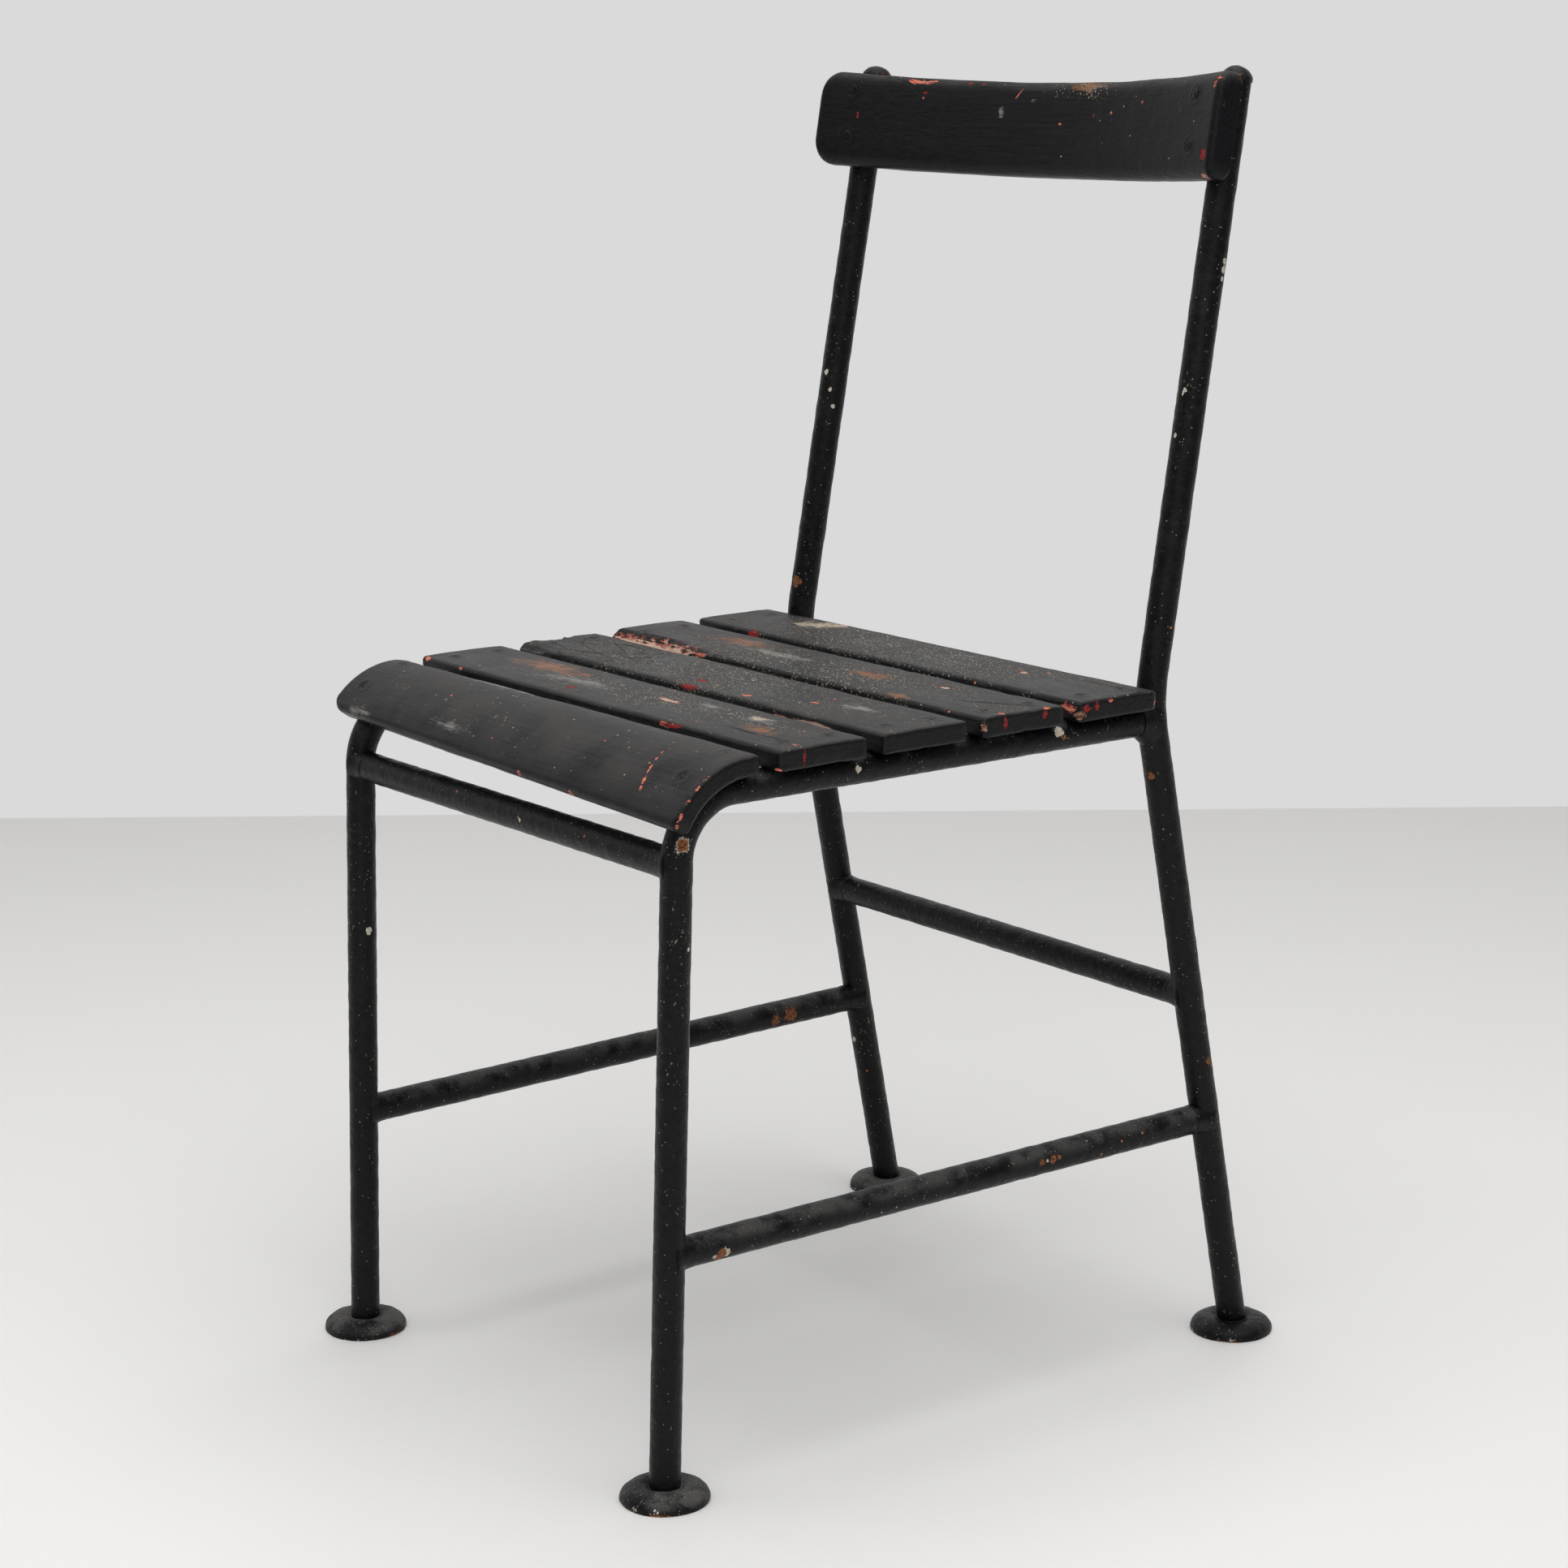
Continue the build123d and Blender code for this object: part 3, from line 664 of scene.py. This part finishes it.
# back rest: bowed round the sitter, leaning with the uprights
backRest = dict(
    length=410.0, width=62.5, thickness=17.0, topRadius=7.5, underRadius=4.0, endRadius=4.6,
    cornerLeft=6.5, cornerRight=14.0, crown=2.6, squareBack=0.8, seed=11,
    bowRadius=676.5, bowCenter=-671.1, drop=35.25, lean=10.2, place=(0.0, 217.22, 825.45),
    liftLeft=4.2, liftRight=2.2,
    marks=dict(
        coral=[
            (-118, 28.5, 6, 16, 2.6, 5), (-22, 22, 8.5, 5, 0.9, 3, 50), (25, 3, 8.5, 2, 1.2, 3),
            (59, 9, 8.5, 2.5, 1.2, 3), (199, 24, 5, 3.2, 4, 3.5),
        ],
        wood=[(-116, 29.2, 6, 8, 1, 4), (194, -29, 2, 5, 3, 4)],
        red=[
            (-72, 28.8, 6, 3, 1.5, 4), (-60, 28.7, 6, 3, 1.5, 4), (-111, 21, 8, 3, 1.6, 3),
            (-169, 4, 8.5, 1.5, 3, 3), (-87, -25, 8.5, 2, 1.3, 3), (202, 19, -5.5, 2.5, 11, 0.9),
            (202, -5, -5.5, 2, 9, 0.8), (202, -20, -5.5, 2, 4, 0.9), (197, -17, 7, 4.5, 6, 5),
        ],
        chalk=[(-6, 18, 8.5, 3, 2, 3), (-36, 10, 8.5, 3, 5, 3, 20), (52, 27, 6, 12, 3, 5)],
        stain=[(46, 28, 6, 22, 5, 6)],
        sand=[(46, 27, 6, 24, 6, 6)],
        crack=[(-140, 25, 7, 32, 4, 5)],
    ),
)


def bowBack(local):
    b = backRest
    angle = local[:, 0] / b["bowRadius"]
    reach = b["bowRadius"] - local[:, 2]
    depth = b["bowCenter"] + reach * np.cos(angle)
    lift = np.where(local[:, 0] > 0, b["liftLeft"], b["liftRight"])  # the top edge rises to the ends
    lift = lift * (2 * local[:, 0] / b["length"]) ** 2
    rise = local[:, 1] + lift * np.clip(2 * local[:, 1] / b["width"], 0, 1) - b["drop"]
    c, s = math.cos(math.radians(b["lean"])), math.sin(math.radians(b["lean"]))
    x0, y0, z0 = b["place"]
    return np.column_stack((x0 + reach * np.sin(angle), y0 + c * depth + s * rise, z0 - s * depth + c * rise))


restSpots = screwSpots("back_rest_screws", bowedAim, 2)
makeBoard("backRestBoard", backRest, bowBack, restFinish, ["back_rest"], restSpots)
print("stage: boards")


def shownMesh(name, mesh, tree, values):  # runs a node tree on a mesh and keeps the plain result
    draft = bpy.data.objects.new(name, mesh)
    bpy.context.scene.collection.objects.link(draft)
    modifier = draft.modifiers.new(name, "NODES")
    modifier.node_group = tree
    for item in tree.interface.items_tree:
        if item.item_type == "SOCKET" and item.in_out == "INPUT" and item.name in values:
            modifier[item.identifier] = values[item.name]
    bpy.context.view_layer.update()
    result = bpy.data.meshes.new_from_object(draft.evaluated_get(bpy.context.evaluated_depsgraph_get()))
    draft.modifiers.clear()
    bpy.data.objects.remove(draft)
    result.name = name
    return result


def newTree(name, piece, sizes):  # every size becomes an input with that value
    tree = bpy.data.node_groups.new(name, "GeometryNodeTree")
    tree.interface.new_socket("Geometry", in_out="INPUT", socket_type="NodeSocketGeometry")
    lumps = {"Lump Height": piece["lump"] * mm, "Lumps per Metre": piece["fine"], "Seed": 0.0}
    for label, value in dict(sizes, **lumps).items():
        kind = "NodeSocketInt" if isinstance(value, int) else "NodeSocketFloat"
        tree.interface.new_socket(label, in_out="INPUT", socket_type=kind).default_value = value
    tree.interface.new_socket("Geometry", in_out="OUTPUT", socket_type="NodeSocketGeometry")
    bench = NodeBench(tree)
    entry = tree.nodes.new("NodeGroupInput")
    given = {socket.name: Wire(bench, socket) for socket in entry.outputs if socket.name}
    return bench, given


def closeTree(bench, shape, given):  # thick paint, which pushes the surface along its normal, ends a tree
    place = bench.add("GeometryNodeInputPosition")
    inputs = {"Vector": place, "W": given["Seed"], "Scale": given["Lumps per Metre"], "Detail": 3.0}
    noise = bench.add("ShaderNodeTexNoise", {"noise_dimensions": "4D"}, inputs)
    push = (noise - 0.5) * given["Lump Height"]
    normal = bench.add("GeometryNodeInputNormal")
    offset = bench.add("ShaderNodeVectorMath", {"operation": "SCALE"}, {"Vector": normal, "Scale": push})
    shape = bench.add("GeometryNodeSetPosition", None, {"Geometry": shape, "Offset": offset})
    bench.add("NodeGroupOutput", None, {"Geometry": shape})
    return bench.tree


# tubes: a path with one bend, swept round and painted thick
# dustSide adds real dust film on the side stretchers; the negative amount for the front cross rail and rear stretcher
# takes their film away, which darkens them partly as painted shade under the seat and partly as less dust there
tube = dict(radius=9.525, step=1.9, around=44, lump=1.1, fine=105.0, rustDepth=0.3, dustSide=0.1, crossDustAndShade=-0.2)
joints = dict(  # left side, millimetres
    frontFoot=(176.5, -229.6, 0.0), frontCorner=(180.1, -215.12, 427.575), railEnd=(183.47, 149.85, 427.575),
    rearFoot=(185.95, 231.1, 0.0), kink=(183.4, 147.68, 438.975), top=(179.4, 217.22, 825.45),
    footFloor=3.2, crossRail=387.575, rearStretcher=241.0, sideFront=152.0, sideRear=154.6,
    frontBend=40.0, kinkBend=100.0,
)


def tubeTree():
    t = tube
    sizes = {"Radius": t["radius"] * mm, "Bend": 0.0, "Step": t["step"] * mm, "Around": t["around"]}
    bench, given = newTree("paintedTube", t, sizes)
    path = bench.add("GeometryNodeMeshToCurve", None, {"Mesh": given["Geometry"]})
    bend = {"Curve": path, "Radius": given["Bend"], "Count": 24}
    path = bench.add("GeometryNodeFilletCurve", {"mode": "POLY"}, bend)
    path = bench.add("GeometryNodeResampleCurve", {"mode": "LENGTH"}, {"Curve": path, "Length": given["Step"]})
    circle = {"Resolution": given["Around"], "Radius": given["Radius"]}
    ring = bench.add("GeometryNodeCurvePrimitiveCircle", None, circle)
    sweep = {"Curve": path, "Profile Curve": ring, "Fill Caps": True}
    skin = bench.add("GeometryNodeCurveToMesh", None, sweep)
    return closeTree(bench, skin, given)


def mirrored(point, side):
    return np.array(point, float) * (side, 1, 1)


def atHeight(low, high, z):
    low, high = np.array(low, float), np.array(high, float)
    return low + (high - low) * ((z - low[2]) / (high[2] - low[2]))


tubeMarks = dict(  # (x, y, z, radius) of rust, peeled paint and older paint
    tan=[
        (189.1, -218.5, 401.3, 5.4), (190.7, -91.8, 429.0, 2.6), (191.4, 65.0, 431.5, 4.0),
        (192.7, 140.0, 429.4, 2.5), (189.5, 200.4, 713.5, 2.2), (189.6, 199.4, 708.1, 2.8),
        (189.7, 198.3, 702.5, 1.9), (183.8, 174.0, 634.6, 2.0), (182.4, 172.8, 631.5, 1.4),
        (181.2, 167.6, 606.3, 1.8), (-179.6, 170.7, 619.7, 2.2), (-175.2, 170.9, 607.4, 2.0),
        (-173.3, 171.6, 596.0, 2.0), (187.3, -190.0, 148.5, 4.4), (187.6, -197.0, 146.8, 3.4),
        (192.1, 58.5, 155.4, 1.8), (188.1, -214.5, 339.0, 1.6), (-185.5, 198.4, 121.3, 2.5),
        (-169.3, -220.3, 277.1, 3.0), (27.8, -225.9, 388.6, 1.6),
    ],
    rust=[
        (189.1, -218.5, 401.3, 4.5), (191.4, 68.0, 428.0, 2.0), (186.4, 147.4, 391.8, 3.4),
        (-181.3, 144.2, 472.3, 5.0), (187.3, -193.0, 147.5, 5.0), (192.0, 54.5, 155.0, 2.6),
        (192.1, 63.0, 155.0, 3.0), (192.2, 69.0, 155.4, 2.0), (194.1, 195.9, 195.4, 3.2),
        (180.0, 207.3, 83.8, 2.2), (-174.4, 131.8, 154.8, 6.5), (-174.4, 118.0, 152.0, 4.0),
    ],
    green=[
        (185.4, 177.8, 642.0, 8.0), (185.8, 174.2, 620.0, 7.0), (188.2, -214.0, 362.0, 13.0),
        (188.2, -214.3, 346.0, 12.0), (187.8, -216.0, 300.0, 12.0), (186.4, -222.0, 268.0, 11.0),
        (185.6, -226.0, 190.0, 9.0),
    ],
)


def tubeFields(points, seed):
    fields = {}
    warp = 0.3 * softNoise(points, 3, seed)
    for kind, marks in tubeMarks.items():
        shares = [1 - np.linalg.norm(points - place, axis=1) / r * (0.5 + 0.5 * warp) for *place, r in marks]
        fields[kind] = np.maximum(0, np.max(shares, axis=0))
    return fields


# dust is extra dust film on this tube; below zero it darkens the tube as painted shade
def makeTube(name, route, bend, seed, node, dust=0.0):
    mesh = bpy.data.meshes.new(name)
    mesh.from_pydata([tuple(np.array(p) * mm) for p in route], [(i, i + 1) for i in range(len(route) - 1)], [])
    skin = shownMesh(name, mesh, paintedTube, {"Bend": bend * mm, "Seed": float(seed)})
    points = meshPoints(skin) / mm
    fields = tubeFields(points, seed)
    worn = tube["rustDepth"] * ramp(np.maximum(fields["rust"], fields["tan"]), 0.5, 0.65)
    movePoints(skin, points - meshPoints(skin, "normal") * worn[:, None])
    storeFields(skin, dict(fields, dust=np.full(len(points), dust)))
    addPiece(name, skin, tubeFinish, [node])


paintedTube = tubeTree()
j = joints
straight = 1.0  # a tube without a bend
frontUp = np.array(j["frontCorner"]) - np.array(j["frontFoot"])
rearUp = np.array(j["kink"]) - np.array(j["rearFoot"])
frontStart, sideStart, crossEnd = (
    atHeight(j["frontFoot"], j["frontCorner"], j[k]) for k in ("footFloor", "sideFront", "crossRail")
)
rearStart, sideEnd, rearEnd = (
    atHeight(j["rearFoot"], j["kink"], j[k]) for k in ("footFloor", "sideRear", "rearStretcher")
)
for seed, (name, side) in enumerate(sides.items()):
    cap = name.capitalize()
    route = [mirrored(p, side) for p in (frontStart, j["frontCorner"], j["railEnd"])]
    makeTube(f"frontLegRail{cap}", route, j["frontBend"], seed + 1, f"front_leg_rail_{name}")
    route = [mirrored(p, side) for p in (rearStart, j["kink"], j["top"])]
    makeTube(f"rearLegUpright{cap}", route, j["kinkBend"], seed + 3, f"rear_leg_upright_{name}")
    route = [mirrored(p, side) for p in (sideStart, sideEnd)]
    makeTube(f"sideStretcher{cap}", route, straight, seed + 5, f"side_stretcher_{name}", tube["dustSide"])
crossTubes = (  # name, end, direction of the leg there, node
    ("frontCrossRail", crossEnd, frontUp, "front_cross_rail"),
    ("rearStretcher", rearEnd, rearUp, "rear_stretcher"),
)
# the cross tubes lie under the seat and get the negative amount, a painted shade
for seed, (name, end, up, node) in enumerate(crossTubes, 7):
    makeTube(name, [mirrored(end, side) for side in (-1, 1)], straight, seed, node, tube["crossDustAndShade"])
print("stage: tubes")


# feet and tube ends: turned profiles, (radius, height) pairs in millimetres
def turned(name, outline, around, origin, axis):
    up = Vector(axis).normalized()
    first = up.orthogonal().normalized()
    second = up.cross(first)
    turn = np.linspace(0, 2 * math.pi, around, endpoint=False)
    ring = np.outer(np.cos(turn), first) + np.outer(np.sin(turn), second)
    points = np.vstack([np.array(origin) + radius * ring + height * np.array(up) for radius, height in outline])
    return meshFrom(name, points, gridFaces(len(outline), around))


def paintThick(mesh, high, size, seed):  # lumps along the normals
    points = meshPoints(mesh) / mm
    lumps = high * (softNoise(points, size, seed) + 0.5 * softNoise(points, size * 0.45, seed + 1))
    points += meshPoints(mesh, "normal") * lumps[:, None]
    movePoints(mesh, points)
    return points


def arc(center, radius, start, end, count):
    turn = np.radians(np.linspace(start, end, count))
    return [(center[0] + radius * math.cos(t), center[1] + radius * math.sin(t)) for t in turn]


foot = dict(
    radius=27.25, height=9.6, edge=0.8, rim=1.9, crest=15.2, dish=1.7, fillet=1.6, neck=0.6,
    around=112, lump=0.3, lumpSize=7,
)
footPlaces = dict(front=(176.581, -229.276), rear=(185.894, 229.276))


def makeFoot(name, x, y, seed, finish, node):
    f = foot
    crown, inner, shoulder = f["crest"], tube["radius"] + f["neck"], f["radius"] - f["edge"]
    width, tall, floor = f["radius"] - crown, f["height"] - f["rim"], f["height"] - f["dish"]
    outline = [(r, 0.0) for r in np.linspace(0, shoulder, 10)]
    outline += arc((shoulder, f["edge"]), f["edge"], -80, 0, 4)
    slope = np.radians(np.linspace(0, 90, 18))
    outline += [(crown + width * math.cos(t), f["rim"] + tall * math.sin(t)) for t in slope]
    share = np.linspace(0, 1, 14)[1:]
    outline += [(crown + (inner - crown) * t, f["height"] - f["dish"] * t * t) for t in share]
    outline += arc((inner + 0.4, floor + f["fillet"]), f["fillet"], 250, 190, 4)  # paint drawn up the leg
    outline += [(r, floor + 1.4) for r in (5.0, 0.0)]
    mesh = turned(name, outline, f["around"], (x, y, 0), (0, 0, 1))
    flat = meshPoints(mesh)[:, 2] < 1e-5
    points = paintThick(mesh, f["lump"], f["lumpSize"], seed)
    points[flat, 2] = 0
    points[:, 2] = np.maximum(points[:, 2], 0)
    movePoints(mesh, points)
    low = np.clip(1 - points[:, 2] / 6, 0, 1)
    rusty = 0.46 * low + 0.12 + 0.36 * softNoise(points, 9, seed + 3)
    storeFields(mesh, dict(rust=rusty, tan=0.20 + 0.14 * low + 0.36 * softNoise(points, 6, seed + 5)))
    addPiece(name, mesh, finish, [node])


dome = dict(left=7.0, right=5.6, lip=0.55, skirt=2.6, edge=0.6, around=72, lump=0.25, lumpSize=5)  # unequal heights


def makeDome(name, origin, axis, height, seed, node):
    d = dome
    radius = tube["radius"] + d["lip"]
    sphere = (radius**2 + height**2) / (2 * height)
    outline = [(0, -d["skirt"]), (radius - 2, -d["skirt"])]
    outline += arc((radius - d["edge"], d["edge"] - d["skirt"]), d["edge"], -80, 0, 4)
    outline += arc((0, height - sphere), sphere, math.degrees(math.asin((sphere - height) / sphere)), 90, 16)
    mesh = turned(name, outline, d["around"], origin, axis)
    points = paintThick(mesh, d["lump"], d["lumpSize"], seed)
    rise = (points - np.array(origin)) @ np.array(Vector(axis).normalized())
    lip = np.clip(1 - abs(rise - 0.5) / 3, 0, 1)
    rusty = 0.45 * lip + 0.3 * softNoise(points, 4, seed + 3)
    storeFields(mesh, dict(rust=rusty, tan=0.15 + 0.3 * softNoise(points, 4, seed + 5)))
    addPiece(name, mesh, tubeFinish, [node])


for seed, (name, side) in enumerate(sides.items()):
    cap = name.capitalize()
    for row, (x, y) in footPlaces.items():
        finish = cleanFootFinish if (row, name) == ("rear", "left") else footFinish
        footSeed = 20 + seed + 2 * (row == "rear")
        makeFoot(f"foot{row.capitalize()}{cap}", side * x, y, footSeed, finish, f"foot_{row}_{name}")
    axis = mirrored(np.array(j["top"]) - np.array(j["kink"]), side)
    makeDome(f"uprightCap{cap}", mirrored(j["top"], side), axis, dome[name], 30 + seed, f"upright_cap_{name}")
print("stage: feet, tube ends")


# weld collars: a flared sleeve set on every joint, wider along the tube that runs through
weld = dict(radius=tube["radius"], leg=4.6, side=1.3, lip=0.15, lump=0.9, fine=150.0)
weld["reach"] = weld["radius"] + weld["leg"]


def setOut(bench, given, shape):  # a copy on every point: z along the point's aim, x along its second field
    vector = {"data_type": "FLOAT_VECTOR"}
    aim, across = (bench.add("GeometryNodeInputNamedAttribute", vector, {"Name": name}) for name in ("aim", "across"))
    axes = {"Primary Axis": aim, "Secondary Axis": across}
    turn = bench.add("FunctionNodeAxesToRotation", {"primary_axis": "Z", "secondary_axis": "X"}, axes)
    copies = {"Points": given["Geometry"], "Instance": shape, "Rotation": turn}
    copies = bench.add("GeometryNodeInstanceOnPoints", None, copies)
    return bench.add("GeometryNodeRealizeInstances", None, {"Geometry": copies})


def weldTree():
    sizes = {key.capitalize(): weld[key] * mm for key in ("radius", "reach", "leg", "side", "lip")}
    bench, given = newTree("weldCollar", weld, sizes)
    plain = {"Vertices": 48, "Side Segments": 12, "Radius": given["Radius"], "Depth": given["Reach"]}
    sleeve = bench.add("GeometryNodeMeshCylinder", {"fill_type": "TRIANGLE_FAN"}, plain)
    place = bench.add("GeometryNodeInputPosition")
    parts = bench.add("ShaderNodeSeparateXYZ", None, {"Vector": place}).socket.node.outputs
    x, y, z = (Wire(bench, socket) for socket in parts)
    share = 0.5 - z / given["Reach"]
    flare = share * share
    wide = (given["Lip"] + given["Leg"] * flare) * x / given["Radius"]
    slim = (given["Lip"] + given["Side"] * flare) * y / given["Radius"]
    push = bench.add("ShaderNodeCombineXYZ", None, {"X": wide, "Y": slim})
    sleeve = bench.add("GeometryNodeSetPosition", None, {"Geometry": sleeve, "Offset": push})
    return closeTree(bench, setOut(bench, given, sleeve), given)


def pointMesh(name, places, aim, across):
    mesh = bpy.data.meshes.new(name)
    mesh.from_pydata([tuple(np.array(p) * mm) for p in places], [], [])
    for label, values in dict(aim=aim, across=across).items():
        flat = np.asarray(values, np.float32).ravel()
        mesh.attributes.new(label, "FLOAT_VECTOR", "POINT").data.foreach_set("vector", flat)
    return mesh


def makeWelds(name, ends, seed, node):  # ends: (joint, far end of the tube that butts, direction of the other tube)
    joint, far, main = (np.array(column, float) for column in zip(*ends))
    aim = (far - joint) / np.linalg.norm(far - joint, axis=1)[:, None]
    mesh = pointMesh(name, joint + aim * weld["reach"] / 2, aim, main)
    skin = shownMesh(name, mesh, weldCollar, {"Seed": float(seed)})
    points = meshPoints(skin) / mm
    storeFields(skin, dict(tubeFields(points, seed), tan=0.12 + 0.2 * softNoise(points, 5, seed)))
    addPiece(name, skin, tubeFinish, [node])


weldCollar = weldTree()
for seed, (name, side) in enumerate(sides.items()):
    low, high = mirrored(sideStart, side), mirrored(sideEnd, side)
    joined = [(low, high, mirrored(frontUp, side)), (high, low, mirrored(rearUp, side))]
    makeWelds(f"sideStretcherWelds{name.capitalize()}", joined, 40 + seed, f"side_stretcher_welds_{name}")
for name, end, up, node in crossTubes:
    joined = [(mirrored(end, side), mirrored(end, -side), mirrored(up, side)) for side in (1, -1)]
    makeWelds(f"{name}Welds", joined, 44, f"{node}_welds")
print("stage: welds")

# screws: slotted heads under paint, placed where the drawing has them
screw = dict(head=4.2, rise=0.9, shank=2.0, length=16.0, slotWide=0.9, slotDeep=0.45, lump=0.2, fine=260.0)
screwLift = dict(front=-0.95, slat=-0.9, rest=-1.35)  # below the face that the drawing gives


def screwTree():
    s = screw
    sizes = {
        "Head Radius": s["head"], "Head Rise": s["rise"], "Shank Radius": s["shank"], "Length": s["length"],
        "Slot Width": s["slotWide"], "Slot Depth": 2 * s["slotDeep"],
    }
    bench, given = newTree("paintedScrew", s, sizes)
    ball = bench.add("GeometryNodeMeshUVSphere", None, {"Segments": 24, "Rings": 12, "Radius": given["Head Radius"]})
    flat = given["Head Rise"] / given["Head Radius"]
    squash = bench.add("ShaderNodeCombineXYZ", None, {"X": 1.0, "Y": 1.0, "Z": flat})
    head = bench.add("GeometryNodeTransform", None, {"Geometry": ball, "Scale": squash})
    wide = 2.4 * given["Head Radius"]
    box = bench.add("ShaderNodeCombineXYZ", None, {"X": wide, "Y": given["Slot Width"], "Z": given["Slot Depth"]})
    lift = bench.add("ShaderNodeCombineXYZ", None, {"Z": given["Head Rise"]})
    cutter = bench.add("GeometryNodeMeshCube", None, {"Size": box})
    cutter = bench.add("GeometryNodeTransform", None, {"Geometry": cutter, "Translation": lift})
    cut = {"operation": "DIFFERENCE", "solver": "EXACT"}
    head = bench.add("GeometryNodeMeshBoolean", cut, {"Mesh 1": head, "Mesh 2": cutter})
    rod = {"Vertices": 12, "Radius": given["Shank Radius"], "Depth": given["Length"]}
    shank = bench.add("GeometryNodeMeshCylinder", None, rod)
    drop = bench.add("ShaderNodeCombineXYZ", None, {"Z": -0.5 * given["Length"]})
    shank = bench.add("GeometryNodeTransform", None, {"Geometry": shank, "Translation": drop})
    whole = bench.add("GeometryNodeJoinGeometry", None, {"Geometry": head})
    bench.tree.links.new(shank.socket, whole.socket.node.inputs[0])
    whole = bench.add("GeometryNodeTransform", None, {"Geometry": whole, "Scale": (mm, mm, mm)})  # cut clean in mm
    return closeTree(bench, setOut(bench, given, whole), given)


def makeScrews(name, node, spots, lift, seed):
    turn = np.random.default_rng(seed).uniform(0, math.pi, len(spots))
    aims = [aim for place, aim in spots]
    ways = [np.array((math.cos(t), math.sin(t) * a[2], -math.sin(t) * a[1])) for t, a in zip(turn, aims)]
    mesh = pointMesh(name, [place + aim * lift for place, aim in spots], aims, ways)
    skin = shownMesh(name, mesh, paintedScrew, {"Seed": float(seed)})
    storeFields(skin, {"rust": 0.1 + 0.2 * softNoise(meshPoints(skin) / mm, 3, seed)})
    addPiece(name, skin, screwFinish, [node])


paintedScrew = screwTree()
makeScrews("frontSeatSlatScrews", "front_seat_slat_screws", frontSpots, screwLift["front"], 51)
for number, spots in slatSpots.items():
    makeScrews(f"seatSlat{number}Screws", f"seat_slat_{number}_screws", spots, screwLift["slat"], 50 + number)
makeScrews("backRestScrews", "back_rest_screws", restSpots, screwLift["rest"], 57)
print("stage: screws")

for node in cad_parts.values():
    for slotItem in node.material_slots:
        slotItem.material = screwFinish if "screw" in node.name else footFinish if "foot" in node.name else tubeFinish
